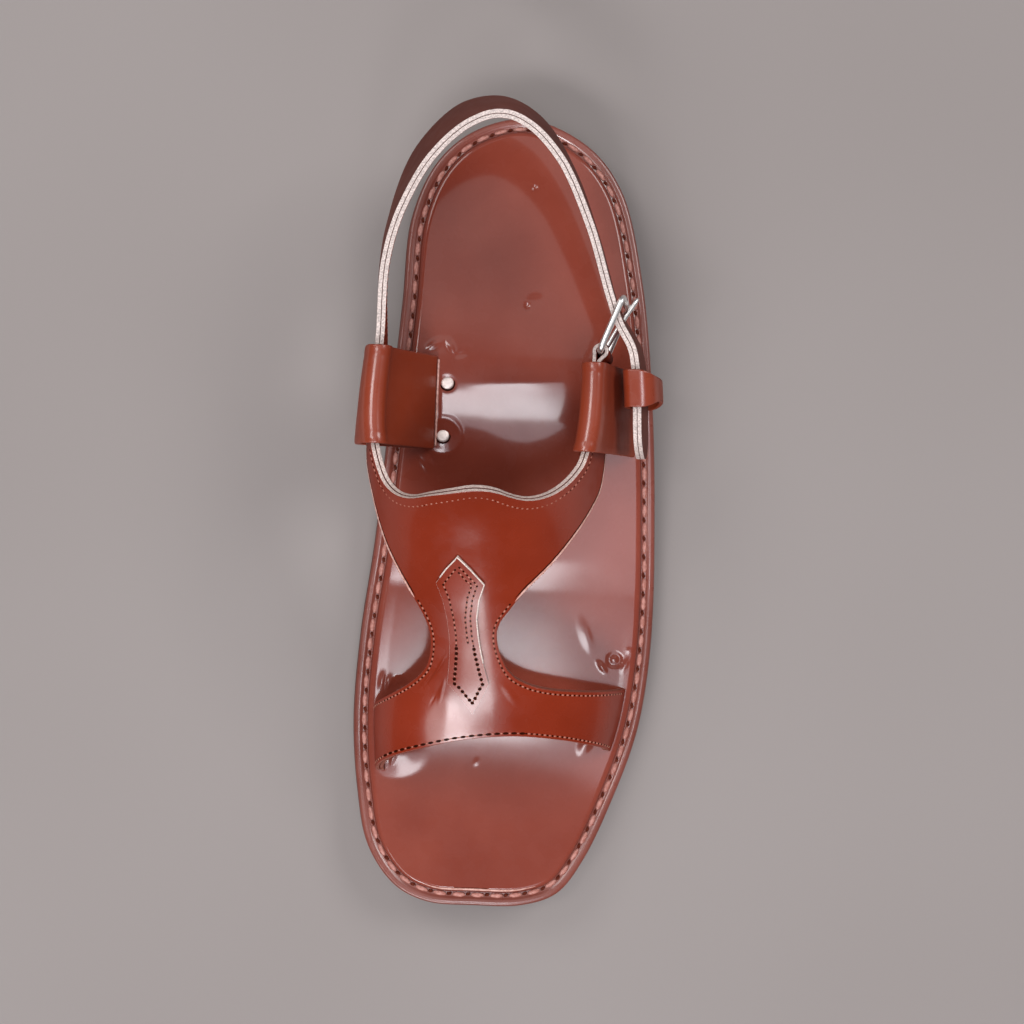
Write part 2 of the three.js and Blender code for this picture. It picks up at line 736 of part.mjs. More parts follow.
const prongThick = 1.8;
const foldClear = 3.4; // prong's start, clear of the fold round the near bar
const prongReach = 3.4; // prong's tip beyond the outer bar
function prongPoints() {
  const { at } = buckleAxes();
  const rest = wire / 2 + prongThick / 2 + gap + 0.1;
  return [
    at(foldClear, 0, 0.2),
    at(buckle.long * 0.62, -1, 1.2),
    at(buckle.long, -2, rest),
    at(buckle.long + prongReach, -2.6, rest + 0.6),
  ];
}
function makeProng() {
  const { tall } = buckleAxes();
  const line = new THREE.CatmullRomCurve3(prongPoints(), false, "centripetal");
  const stepCount = 10;
  const points = line.getSpacedPoints(stepCount);
  const radii = points.map((_, i) => (prongThick / 2) * (i === stepCount ? 0.6 : 1));
  return wireAlong(points, radii, tall, false);
}

// The fold of leather that ends the vamp's outer strap and holds the buckle's near bar.
const foldShare = 0.8; // its width, of the strap's
const foldNeck = 3.4; // where its two plies meet, short of the bar
function makeBuckleFold() {
  const { at, long } = buckleAxes();
  const ply = (leatherThick - gap) / 2;
  const bendRadius = wire / 2 + gap + ply / 2;
  const wide = foldShare * strapWide;
  const seatAlong = outerEnd - gap / soleLength;
  const middle = (strapLow + strapHigh) / 2;
  const rows = [];
  const acrossCount = 2;
  const start = (height, w) => offLast(angleAt(1, seatAlong, height), seatAlong, w);
  const layer = (w) =>
    Array.from({ length: acrossCount + 1 }, (_, j) =>
      start(middle + wide * (j / acrossCount - 0.5), w),
    );
  const bend = (turn, r) =>
    Array.from({ length: acrossCount + 1 }, (_, j) => {
      const t = wide * (j / acrossCount - 0.5);
      return at(-r * Math.cos(turn), t, r * Math.sin(turn));
    });
  const mix = (a, b, f) => a.map((p, j) => p.clone().lerp(b[j], f));
  const outerStart = layer(leatherThick - ply / 2);
  const innerStart = layer(ply / 2);
  const neck = (w) =>
    Array.from({ length: acrossCount + 1 }, (_, j) => at(-foldNeck, wide * (j / acrossCount - 0.5), w));
  const [outerNeck, innerNeck] = [neck((ply + gap) / 2), neck(-(ply + gap) / 2)];
  rows.push(outerStart, mix(outerStart, outerNeck, 0.5), outerNeck);
  for (let a = 48; a <= 312; a += 24) rows.push(bend(radians(a), bendRadius));
  rows.push(innerNeck, mix(innerStart, innerNeck, 0.5), innerStart);
  return leather(rows.reverse(), ply);
}

// Keeper: a loose ring of leather round the strap's free end.
const keeperFrom = 0.319;
const keeperTo = 0.364;
const keeperThick = 1.6;
const keeperSlack = { inner: 1.5, outer: 4.1, ends: 0.7 }; // room round the strap
const keeperNarrow = 0.4; // how much the ring narrows where it bows out
function makeKeeper() {
  const middle = (strapLow + strapHigh) / 2;
  const roundCount = 24;
  const stationCount = 2;
  const freeEnd = backStrap.slice(7);
  const lean = radians(15);
  const tall = new THREE.Vector3(-Math.sin(lean), 0, Math.cos(lean));
  const out = new THREE.Vector3(Math.cos(lean), 0, Math.sin(lean));
  const seat = gap + keeperThick / 2;
  const high = 0.4 * strapWide + seat + keeperSlack.ends;
  const inner = leatherThick / 2 + seat + keeperSlack.inner;
  const outer = leatherThick / 2 + seat + keeperSlack.outer;
  const rows = Array.from({ length: roundCount }, (_, k) => {
    const a = (2 * Math.PI * k) / roundCount;
    const [c, s] = [Math.cos(a), Math.sin(a)];
    const long = (keeperTo - keeperFrom) * (1 - keeperNarrow * Math.max(0, c) ** 2);
    return Array.from({ length: stationCount + 1 }, (_, j) => {
      const along = (keeperFrom + keeperTo) / 2 + long * (j / stationCount - 0.5);
      const x = fair(freeEnd, "side", along) * ballWidth;
      const rise = fair(freeEnd, "rise", along) * strapWide;
      return new THREE.Vector3(x, toY(along), middle + rise)
        .addScaledVector(out, (c > 0 ? outer : inner) * Math.sign(c) * Math.abs(c) ** (c > 0 ? 0.75 : 0.45))
        .addScaledVector(tall, high * Math.sign(s) * Math.abs(s) ** 0.6);
    });
  });
  return leather(rows.reverse(), keeperThick, true);
}

// Tack heads in the insole beside the inner loop: side in ball widths, along in sole lengths.
const tacks = [
  { side: -0.231, along: 0.338 },
  { side: -0.239, along: 0.404 },
];
const tackWide = 4.3;
function makeTack({ side, along }) {
  const y = toY(along);
  const sideCount = 12;
  const ring = (radius, height) =>
    Array.from({ length: sideCount }, (_, k) => {
      const a = (-2 * Math.PI * (k + 0.5)) / sideCount + Math.PI / 2;
      const [x, py] = [side * ballWidth + radius * Math.cos(a), y + radius * Math.sin(a)];
      return new THREE.Vector3(x, py, footbed(py) + gap + height);
    });
  const head = tackWide / 2;
  return stack([ring(head, 0), ring(head * 0.9, 0.35), ring(head * 0.5, 0.7)]);
}

// Sole parts
function makeOutsole() {
  const bevel = 1.2;
  return stack([
    lifted(footprint(bevel), 0),
    lifted(footprint(0), bevel),
    lifted(footprint(0), outsoleThick - 0.8),
    lifted(footprint(0.8), outsoleThick),
  ]);
}

const breast = 0.265; // front of the heel block
function makeHeel() {
  const find = (side) => {
    let [low, high] = side > 0 ? [0, 0.5] : [1, 0.5];
    for (let k = 0; k < 40; k++) {
      const middle = (low + high) / 2;
      if (toAlong(edgePoint(middle, 0).y) < breast) low = middle;
      else high = middle;
    }
    return low;
  };
  const halfCount = 18;
  const half = (side, inset) =>
    Array.from({ length: halfCount }, (_, i) => {
      const end = find(side);
      const start = side > 0 ? 0.004 : 0.996;
      return edgePoint(start + ((end - start) * i) / (halfCount - 1), inset);
    });
  const ring = (inset, height) =>
    [...half(1, inset), ...half(-1, inset).reverse()].map((p) => p.setZ(height));
  const top = heelHeight - gap;
  return stack([ring(2.4, 0), ring(1.4, 1), ring(0.6, top)]);
}

function makeWelt() {
  const inner = weltWide + gap;
  const foot = weltFoot;
  const top = foot + weltThick;
  return hoop([
    [0.8, foot],
    [0.3, foot + 0.8],
    [0.3, top - 0.9],
    [1.1, top],
    [2.6, top - 0.3],
    [3.4, top + 0.3],
    [4.5, top + 0.2],
    [inner, top - 0.8],
    [inner, foot],
  ]);
}

const toManifold = (geometry) => {
  const mesh = new wasm.Mesh({
    numProp: 3,
    vertProperties: new Float32Array(geometry.attributes.position.array),
    triVerts: new Uint32Array(geometry.index.array),
  });
  return new wasm.Manifold(mesh);
};
const fromManifold = (shape) => {
  const mesh = shape.getMesh();
  return solid(Array.from(mesh.vertProperties), Array.from(mesh.triVerts));
};

// A slit through the insole along the seam, on one side.
function seamSlit(side, from, to, thick) {
  const slitCount = 8;
  const margin = gap / soleLength;
  const line = (inset) =>
    Array.from({ length: slitCount + 1 }, (_, i) => {
      const along = from - margin + ((to - from + 2 * margin) * i) / slitCount;
      const y = toY(along);
      return new THREE.Vector3(edgeX(side, y, inset), y, 0);
    });
  const outer = line(seamInset - gap);
  const inner = line(seamInset + thick + gap);
  const ring = side > 0 ? [...outer, ...inner.reverse()] : [...inner, ...outer.reverse()];
  return stack([ring.map((p) => p.clone().setZ(0)), ring.map((p) => p.clone().setZ(60))]);
}

function loopSlitCut(side) {
  const x = (side < 0 ? loopSlit.inner : loopSlit.outer) * ballWidth;
  const from = side < 0 ? loopFrom.inner : loopFrom.outer;
  const long = (loopTo - from) * soleLength + 2 * gap;
  const box = new THREE.BoxGeometry(loopThick + 2 * gap, long, 60);
  box.translate(x, toY((from + loopTo) / 2), 30);
  return box;
}

const weld = (geometry) => {
  const seen = new Map();
  const positions = [];
  const p = geometry.attributes.position;
  const map = Array.from({ length: p.count }, (_, i) => {
    const key = [p.getX(i), p.getY(i), p.getZ(i)].map((v) => v.toFixed(5)).join();
    if (!seen.has(key)) {
      seen.set(key, positions.length / 3);
      positions.push(p.getX(i), p.getY(i), p.getZ(i));
    }
    return seen.get(key);
  });
  return solid(positions, Array.from(geometry.index.array, (i) => map[i]));
};

function makeInsole() {
  const rim = weltWide + 2 * gap;
  const top = weltFoot + insoleThick;
  const plate = stack([
    lifted(footprint(rim + 0.4), weltFoot),
    lifted(footprint(rim), weltFoot + 0.6),
    lifted(footprint(rim), top - 1.6),
    lifted(footprint(rim + 0.6), top - 0.5),
    lifted(footprint(rim + 1.9), top),
  ]);
  let shape = toManifold(plate);
  const cuts = [
    seamSlit(-1, innerWindow[0].along, frontEdge[0].along, leatherThick),
    seamSlit(1, outerWindow[0].along, frontEdge.at(-1).along, leatherThick),
    seamSlit(-1, loopFrom.inner, loopTo, loopThick),
    seamSlit(1, loopFrom.outer, loopTo, loopThick),
    weld(loopSlitCut(-1)),
    weld(loopSlitCut(1)),
  ];
  for (const cut of cuts) shape = shape.subtract(toManifold(cut));
  return fromManifold(shape);
}

const leatherRed = 0x7b2b1a;
const insoleRed = 0x8c4738;
const parts = [
  ["outsole", makeOutsole, 0x5b281f, 0.45, 0],
  ["heel_block", makeHeel, 0x4a221b, 0.5, 0],
  ["welt", makeWelt, 0x7d3a2b, 0.4, 0],
  ["insole", makeInsole, insoleRed, 0.25, 0],
  ["vamp", makeVamp, leatherRed, 0.2, 0],
  ["vamp_overlay", makeOverlay, leatherRed, 0.2, 0],
  ["inner_loop", () => makeLoop(-1), leatherRed, 0.2, 0],
  ["outer_loop", () => makeLoop(1), leatherRed, 0.2, 0],
  ["back_strap", makeBackStrap, leatherRed, 0.2, 0],
  ["buckle_fold", makeBuckleFold, leatherRed, 0.2, 0],
  ["keeper", makeKeeper, leatherRed, 0.2, 0],
  ["buckle_frame", makeBuckleFrame, 0xd8d2cf, 0.2, 1],
  ["buckle_prong", makeProng, 0xd8d2cf, 0.2, 1],
  ["tack_rear", () => makeTack(tacks[0]), 0xc9bdb8, 0.3, 1],
  ["tack_front", () => makeTack(tacks[1]), 0xc9bdb8, 0.3, 1],
];

const chappal = new THREE.Group();
chappal.name = "kohati_chappal";
for (const [name, make, color, roughness, metalness] of parts) {
  const material = new THREE.MeshStandardMaterial({ color, roughness, metalness });
  const mesh = new THREE.Mesh(make(), material);
  mesh.name = name;
  chappal.add(mesh);
}

export default chappal;
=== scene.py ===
# %% [markdown]
# # A kohati chappal, left shoe
# A leather T-strap sandal on a stitched, welted sole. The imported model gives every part
# its place. This script makes each visible part again with the detail of real leather:
# plies, edges, stitches, creases and gloss. All sizes of the shoe are in millimetres until
# a mesh is made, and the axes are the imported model's: toe to -Y, outer side to +X, up to
# +Z. Floor, lamps and camera are set in metres.

import math

import bpy
import numpy as np
from mathutils import Matrix, Vector


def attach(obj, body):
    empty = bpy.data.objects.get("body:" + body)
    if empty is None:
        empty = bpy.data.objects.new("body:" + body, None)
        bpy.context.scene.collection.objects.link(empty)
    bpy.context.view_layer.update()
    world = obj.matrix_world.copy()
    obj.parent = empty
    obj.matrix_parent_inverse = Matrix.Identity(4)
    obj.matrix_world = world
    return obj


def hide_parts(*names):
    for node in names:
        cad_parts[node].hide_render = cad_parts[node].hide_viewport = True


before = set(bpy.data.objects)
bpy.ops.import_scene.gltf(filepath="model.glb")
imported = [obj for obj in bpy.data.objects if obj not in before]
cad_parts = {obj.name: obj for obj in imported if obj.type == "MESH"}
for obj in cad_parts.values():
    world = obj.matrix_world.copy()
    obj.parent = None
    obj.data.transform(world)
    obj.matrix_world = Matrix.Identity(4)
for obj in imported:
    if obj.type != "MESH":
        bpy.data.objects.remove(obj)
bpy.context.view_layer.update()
print("nodes:", ", ".join(sorted(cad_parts)))

# %% [markdown]
# ## The sizes
# A shoemaker works from a last and a sole pattern. These are the same sizes and tables
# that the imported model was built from, so that each piece made here lies in its place.

# %% Sizes of the sole and straps
SOLE_LONG = 282
BALL_WIDE = 108
HEEL_BACK = 36
HEEL_HIGH = 13
TOE_SPRING = 7
OUTSOLE = 8
WELT_THICK = 3.2
WELT_WIDE = 5
INSOLE = 5.2
RIM = 2
LEATHER = 3
LOOP = 2.2
OVERLAY = 1.6
INSTEP = 100
STRAP_WIDE = 22
STRAP_FOOT = 12
WIRE = 2.2
GAP = 0.3
MM = 0.001
UPWARD = np.array((0.0, 0.0, 1.0))
print("sole", SOLE_LONG, "mm long and", BALL_WIDE, "mm wide over the ball")

# %% [markdown]
# Both tables hold shares, not lengths: of the sole's length, the ball's width and the
# instep's rise. The same pattern then serves any size of shoe, as a maker grades it.

# %% Sole pattern and last
# along: share of the sole from the heel back; side: share of ball width from the middle
SOLE_PATTERN = [
    (0, 0), (0.03, 0.2), (0.085, 0.32), (0.2, 0.402), (0.36, 0.455), (0.5, 0.486),
    (0.6, 0.497), (0.7, 0.487), (0.78, 0.455), (0.86, 0.385), (0.94, 0.29),
    (0.982, 0.205), (0.998, 0.09), (1, -0.08), (0.997, -0.23), (0.978, -0.34),
    (0.93, -0.435), (0.86, -0.478), (0.77, -0.5), (0.66, -0.488), (0.54, -0.452),
    (0.4, -0.422), (0.24, -0.39), (0.13, -0.37), (0.06, -0.295), (0.018, -0.175),
]
# along, crown height, sway to a side, spread of the sides, lean
LAST = np.array([
    (0.28, 1.0, -0.09, 0.02, -0.13),
    (0.36, 0.9, -0.098, 0.02, -0.13),
    (0.42, 0.75, -0.1, 0.018, -0.13),
    (0.475, 0.59, -0.092, 0.008, -0.14),
    (0.54, 0.51, -0.074, 0, -0.17),
    (0.6, 0.44, -0.046, 0, -0.2),
    (0.66, 0.37, -0.018, 0, -0.22),
    (0.72, 0.305, 0, 0, -0.22),
    (0.78, 0.26, 0, 0, -0.2),
    (0.86, 0.2, 0, 0, -0.15),
])


def to_y(along):
    return HEEL_BACK - np.asarray(along) * SOLE_LONG


def to_along(y):
    return (HEEL_BACK - np.asarray(y)) / SOLE_LONG


print("pattern:", len(SOLE_PATTERN), "points, last:", len(LAST), "sections")


# %% [markdown]
# ## Smooth lines
# Every edge of the shoe is a curve through a few points. A Catmull-Rom curve passes
# through its points, which suits tables that were measured, and the centripetal kind
# makes no loops where points lie close together. Points are then spaced evenly by length.

# %% Curves through points
def unit(vectors):
    return vectors / np.linalg.norm(vectors, axis=-1, keepdims=True)


def curve_through(points, closed=False, fine=24):
    """A dense line of points on a centripetal Catmull-Rom curve."""
    p = np.asarray(points, float)
    if closed:
        p = np.vstack([p[-1], p, p[:2]])
    else:
        p = np.vstack([2 * p[0] - p[1], p, 2 * p[-1] - p[-2]])
    t = np.linspace(0, 1, fine, endpoint=False)[:, None]
    out = []
    for a, b, c, d in zip(p[:-3], p[1:-2], p[2:-1], p[3:]):
        ab, bc, cd = (max(np.linalg.norm(v) ** 0.5, 1e-4) for v in (b - a, c - b, d - c))
        start = ((b - a) / ab - (c - a) / (ab + bc) + (c - b) / bc) * bc
        end = ((c - b) / bc - (d - b) / (bc + cd) + (d - c) / cd) * bc
        out.append(
            b + start * t + (3 * (c - b) - 2 * start - end) * t**2
            + (2 * (b - c) + start + end) * t**3
        )
    if not closed:
        out.append(p[-2][None])
    return np.vstack(out)


def spaced(line, count, start=0.0, end=1.0, closed=False):
    """count points at even steps of length between two shares of a line."""
    if closed:
        line = np.vstack([line, line[0]])
    length = np.r_[0, np.cumsum(np.linalg.norm(np.diff(line, axis=0), axis=1))]
    at = np.linspace(start, end, count, endpoint=not closed) * length[-1]
    return np.stack([np.interp(at, length, line[:, k]) for k in range(line.shape[1])], 1)


def turns(count):
    """Even angles of one full turn."""
    return np.arange(count) / count * 2 * math.pi


def line_length(line):
    return np.linalg.norm(np.diff(line, axis=0), axis=1).sum()


sole_points = np.array([(side * BALL_WIDE, to_y(along)) for along, side in SOLE_PATTERN])
sole_line = spaced(curve_through(sole_points, closed=True, fine=60), 2400, closed=True)
print("round the sole:", round(line_length(sole_line)), "mm")


def footprint(inset, count=None, half_step=0.0):
    """The sole's outline moved in by an inset, clockwise from the heel's back."""
    run = unit(np.roll(sole_line, -1, 0) - np.roll(sole_line, 1, 0))
    line = sole_line + np.stack([run[:, 1], -run[:, 0]], 1) * inset
    if count is None:
        return line
    at = (np.arange(count) + half_step) / count * len(line)
    return np.stack([np.interp(at, np.arange(len(line) + 1), np.r_[c, c[0]]) for c in line.T], 1)


def edge_x(side, y, inset):
    """Where the inset outline stands at a station: +1 outer side, -1 inner side."""
    line = footprint(inset)
    half = len(line) // 2
    part = line[:half][::-1] if side > 0 else line[half:]
    return np.interp(y, part[:, 1], part[:, 0])


# %% [markdown]
# ## The last
# The straps are shaped over a last, a wooden foot. A point of its surface is found by
# an angle round it, from the seam on the inner side (0) over the top to the seam on the
# outer side (180), and by its station along the sole. Leather of any thickness is then
# a distance off this surface.

# %% Heights along the sole
def ease(t):
    """A smooth rise from 0 to 1."""
    return t * t * (3 - 2 * t)


def sole_height(y):
    along = to_along(y)
    arch = np.clip((0.6 - along) / 0.3, 0, 1)
    spring = np.maximum(0, (along - 0.78) / 0.22) ** 1.8
    return HEEL_HIGH * ease(arch) + TOE_SPRING * spring


def footbed(y):
    return sole_height(y) + OUTSOLE + GAP + INSOLE


print("footbed at the heel", float(footbed(0)), "mm high")


# %% [markdown]
# The last is a row of half-ovals that stand on the footbed. Between two rows of its table
# a fair curve gives the rise, the sway, the spread and the lean of the section.

# %% Sections of the last
SEAM_IN = WELT_WIDE + 2 * GAP + RIM + GAP
STRAP_IN = SEAM_IN + LEATHER


def last_table(column, along):
    """A fair value from the last's table between its rows."""
    rows, end = LAST, len(LAST) - 1
    along = np.clip(along, rows[0, 0], rows[end, 0])
    i = np.clip(np.searchsorted(rows[:, 0], along, "right") - 1, 0, end - 1)
    low, high = np.maximum(np.arange(end + 1) - 1, 0), np.minimum(np.arange(end + 1) + 1, end)
    slope = (rows[high, column] - rows[low, column]) / (rows[high, 0] - rows[low, 0])
    step = rows[i + 1, 0] - rows[i, 0]
    t = (along - rows[i, 0]) / step
    rise = ease(t)
    bend = (t**3 - 2 * t**2 + t) * slope[i] + (t**3 - t**2) * slope[i + 1]
    return rows[i, column] * (1 - rise) + rows[i + 1, column] * rise + bend * step


def on_last(angle, along):
    y = to_y(along)
    inner, outer = edge_x(-1, y, STRAP_IN), edge_x(1, y, STRAP_IN)
    middle = (inner + outer) / 2 + last_table(2, along) * BALL_WIDE
    half = (outer - inner) / 2 + last_table(3, along) * BALL_WIDE
    turn = np.radians(angle)
    up = last_table(1, along) * INSTEP * np.sin(turn)
    x = middle + last_table(4, along) * up - half * np.cos(turn)
    return np.stack([x, y, footbed(y) + up], -1)


def last_normal(angle, along):
    around = on_last(angle + 0.5, along) - on_last(angle - 0.5, along)
    down = on_last(angle, along + 0.002) - on_last(angle, along - 0.002)
    return unit(np.cross(down, around))


def off_last(angle, along, depth):
    angle, along = np.broadcast_arrays(np.asarray(angle, float), np.asarray(along, float))
    return on_last(angle, along) + last_normal(angle, along) * np.asarray(depth)[..., None]


def angle_at(side, along, height):
    """The angle at which the last is at a height, on one side."""
    base = footbed(to_y(along))
    crown = last_table(1, np.asarray(along, float)) * INSTEP
    angle = np.degrees(np.arcsin(np.clip((height - base) / crown, 0, 1)))
    return angle if side < 0 else 180 - angle


def at_height(side, along, height, depth):
    """A point off the last at a height, on one side."""
    return off_last(angle_at(side, along, height), along, depth)


STRAP_LOW = float(footbed(0)) + STRAP_FOOT
STRAP_HIGH = STRAP_LOW + STRAP_WIDE
print("side straps from", STRAP_LOW, "to", STRAP_HIGH, "mm high")

# %% [markdown]
# ## Finishes
# A finish is a small network of nodes. To keep its sums readable, a class wraps a node's
# output so that ordinary Python arithmetic adds the Math nodes, and one method adds any
# other node from its type, its settings and what goes into its sockets.

# %% A socket that can be used in sums
def operator(kind, swapped=False):
    """A method that adds a Math node for a sum of this socket and another value."""
    def apply(self, other):
        first, second = (other, self) if swapped else (self, other)
        return self.finish.node(
            "ShaderNodeMath", settings={"operation": kind}, inputs={0: first, 1: second}
        )

    return apply


class Signal:
    def __init__(self, finish, socket):
        self.finish, self.socket = finish, socket

    __add__ = __radd__ = operator("ADD")
    __mul__ = __rmul__ = operator("MULTIPLY")
    __sub__, __rsub__ = operator("SUBTRACT"), operator("SUBTRACT", swapped=True)
    __truediv__, __rtruediv__ = operator("DIVIDE"), operator("DIVIDE", swapped=True)
    __pow__, __rpow__ = operator("POWER"), operator("POWER", swapped=True)


# %% [markdown]
# A finish holds one material. Constants go onto the shader's own sockets, and anything
# that varies over the surface is a node whose output is linked to them.

# %% A finish and its one way to add a node
class Finish:
    def __init__(self, name, **shader):
        self.material = bpy.data.materials.new(name)
        self.material.use_nodes = True
        self.tree = self.material.node_tree
        self.shader = self.tree.nodes["Principled BSDF"]
        for socket, value in shader.items():
            self.set(socket.replace("_", " ").title().replace("Ior", "IOR"), value)

    def feed(self, target, value):
        """Links another node's output, or sets a plain number or colour."""
        if isinstance(value, Signal):
            self.tree.links.new(value.socket, target)
        else:
            target.default_value = value

    def set(self, socket, value):
        self.feed(self.shader.inputs[socket], value)

    def node(self, kind, settings=None, inputs=None, out=0):
        node = self.tree.nodes.new(kind)
        for key, value in (settings or {}).items():
            setattr(node, key, value)
        for key, value in (inputs or {}).items():
            self.feed(node.inputs[key], value)
        return Signal(self, node.outputs[out])

    def place(self, stretch=(1, 1, 1)):
        """Object coordinates, stretched so that a pattern can run one way."""
        raw = self.node("ShaderNodeTexCoord", out="Object")
        return self.node(
            "ShaderNodeMapping", settings={"vector_type": "POINT"},
            inputs={"Vector": raw, "Scale": stretch},
        )

    def noise(self, scale, detail, stretch=(1, 1, 1)):
        return self.node(
            "ShaderNodeTexNoise",
            inputs={"Vector": self.place(stretch), "Scale": scale, "Detail": detail},
        )

    def ramp(self, value, low, high, to_low=0.0, to_high=1.0):
        """A smooth step from one value to another."""
        return self.node(
            "ShaderNodeMapRange",
            settings={"interpolation_type": "SMOOTHSTEP"},
            inputs={
                "Value": value, "From Min": low, "From Max": high,
                "To Min": to_low, "To Max": to_high,
            },
        )

    def mix(self, factor, first, second):
        """A mix of two colours."""
        colour = [c if isinstance(c, Signal) else (*c, 1) for c in (first, second)]
        return self.node(
            "ShaderNodeMix", settings={"data_type": "RGBA"},
            inputs={0: factor, 6: colour[0], 7: colour[1]}, out=2,
        )

    def bump(self, height, strength, distance, under=None):
        inputs = {"Height": height, "Strength": strength, "Distance": distance}
        if under is not None:
            inputs["Normal"] = under
        return self.node("ShaderNodeBump", inputs=inputs)


# %% [markdown]
# Wear and work leave marks in the leather: dents beside the tacks, the ring of a tool,
# creases where the bar bends. Those of the upper are oval patches of height, faded out at
# their edges, that add up into a Bump node, so the gloss breaks on them. Those of the
# insole are deeper and go into its mesh.

# %% Marks in leather, as heights in millimetres
class Marked(Finish):
    """A finish whose marks are laid out in millimetres on the shoe, seen from above."""

    def oval(self, x, y, long, wide, turn):
        """1 in the middle of an oval patch, fading to 0 at its edge."""
        raw = self.node("ShaderNodeTexCoord", out="Object")
        placed = self.node(
            "ShaderNodeMapping", settings={"vector_type": "TEXTURE"},
            inputs={
                "Vector": raw, "Location": (x * MM, y * MM, 0),
                "Rotation": (0, 0, math.radians(turn)), "Scale": (long * MM, wide * MM, 1000),
            },
        )
        far = self.node(
            "ShaderNodeVectorMath", settings={"operation": "LENGTH"},
            inputs={0: placed}, out="Value",
        )
        return self.ramp(far, 0.0, 1.0, 1.0, 0.0)

    def level(self):
        """1 where leather lies flat and is polished by hand, 0 on steep sides."""
        facing = self.node("ShaderNodeNewGeometry", out="Normal")
        upward = self.node("ShaderNodeSeparateXYZ", inputs={0: facing}, out="Z")
        return self.ramp(upward, 0.3, 0.72)

    def relief(self, ovals):
        """The sum of ovals, each given as x, y, long, wide, turn and height."""
        height = 0.0
        for *shape, high in ovals:
            height = height + self.oval(*shape) * high
        return height


STEEP_DULL = 0.3  # roughness that steep sides have on top


def red_leather(name, deep, bright, rough, gloss, soft, wave=0.25, shine=0.5, ovals=()):
    """Polished dyed leather: two tones, fine grain, slow waves, marks and a lacquer coat."""
    finish = Marked(name, coat_ior=1.5, coat_roughness=soft, ior=1.5, specular_ior_level=shine)
    cloud = finish.noise(24, 4)
    grain = finish.node(
        "ShaderNodeTexVoronoi", settings={"feature": "SMOOTH_F1"},
        inputs={"Vector": finish.place(), "Scale": 1100},
    )
    finish.set("Base Color", finish.mix(finish.ramp(cloud, 0.3, 0.72), deep, bright))
    level = finish.level()
    worn = finish.ramp(finish.noise(160, 2), 0.3, 0.7, rough - 0.04, rough + 0.06)
    finish.set("Roughness", worn + (1 - level) * STEEP_DULL)
    finish.set("Coat Weight", finish.ramp(cloud, 0.3, 0.7, *gloss) * level)
    height = finish.noise(22, 1) * wave
    if ovals:
        height = height + finish.relief(ovals)
    worked = finish.bump(height, 1.0, MM)
    finish.set("Normal", finish.bump(grain, 0.1, 0.0001, under=worked))
    return finish.material


# %% [markdown]
# One function makes every leather. The upper is glossy and orange-red, the insole mirrors
# the most, the heel strap is worn dull, and the lining is plain.

# %% Leathers
# x, y, half length, half width, turn in degrees, height: creases from the overlay's foot
BAR_OVALS = [
    (-24.6, -158.6, 7.5, 1, 62, 0.3), (-26.6, -161, 7, 0.8, 58, -0.3),
    (-28.4, -163, 6, 0.9, 52, 0.22), (-23, -166.5, 6, 1.1, 78, 0.24),
    (-25.2, -168.2, 5, 0.9, 66, -0.2), (-31, -160, 5, 0.9, 44, 0.16),
    (-20.4, -171, 8, 4, 80, 0.2), (4.5, -160.6, 5.5, 1.3, -32, 0.22),
    (7, -163.6, 5, 1.2, -24, -0.18), (1, -167, 6, 2.2, -50, 0.16), (-14, -150, 14, 3, 84, -0.2),
]
upper_leather = red_leather(
    "upper_leather", (0.19, 0.016, 0.002), (0.24, 0.022, 0.004),
    rough=0.25, gloss=(0.45, 0.75), soft=0.12, wave=0.35, shine=0.3, ovals=BAR_OVALS,
)
insole_leather = red_leather(
    "insole_leather", (0.2, 0.036, 0.021), (0.25, 0.05, 0.03),
    rough=0.26, gloss=(0.85, 1.0), soft=0.09, wave=0.3, shine=0.12,
)
loop_leather = red_leather(
    "loop_leather", (0.2, 0.026, 0.008), (0.26, 0.038, 0.013),
    rough=0.28, gloss=(0.7, 1.0), soft=0.19, wave=0.5, shine=0.4,
)
strap_leather = red_leather(
    "strap_leather", (0.19, 0.03, 0.014), (0.24, 0.042, 0.022),
    rough=0.5, gloss=(0.02, 0.06), soft=0.3, shine=0.03,
)
lining_leather = red_leather(
    "lining_leather", (0.1, 0.02, 0.012), (0.15, 0.032, 0.018),
    rough=0.42, gloss=(0.1, 0.25), soft=0.25, shine=0.3,
)

# %% [markdown]
# The other finishes are plain: one noise gives the tone and the gloss of each, and the
# same noise, or a finer one, its relief. Edges are stretched noise, for the fibres.

# %% Edges, rubber, thread and metal
def darker(colour, share):
    return tuple(share * c for c in colour)


def make_raw_edge(name, raw, dyed=None, dyed_to=0.0):
    """A cut edge: pale fibres where it is left raw, dark from the toe to a place if dyed."""
    finish = Finish(name, roughness=0.5)
    fibre = finish.noise(1600, 3, (1, 1, 3))
    tone = finish.ramp(fibre, 0.3, 0.72)
    tint = finish.mix(tone, darker(raw, 0.5), raw)
    if dyed:
        place = finish.node("ShaderNodeSeparateXYZ", inputs={0: finish.place()}, out="Y")
        back = finish.ramp(place, dyed_to - 0.004, dyed_to + 0.004)
        tint = finish.mix(back, dyed, tint)
    finish.set("Base Color", tint)
    finish.set("Normal", finish.bump(fibre, 0.5, 0.0002))
    return finish.material


raw_edge = make_raw_edge("raw_edge", (0.78, 0.64, 0.59))
vamp_edge = make_raw_edge("vamp_edge", (0.74, 0.58, 0.52), (0.24, 0.07, 0.045), -0.108)
overlay_edge = make_raw_edge("overlay_edge", (0.95, 0.78, 0.7))


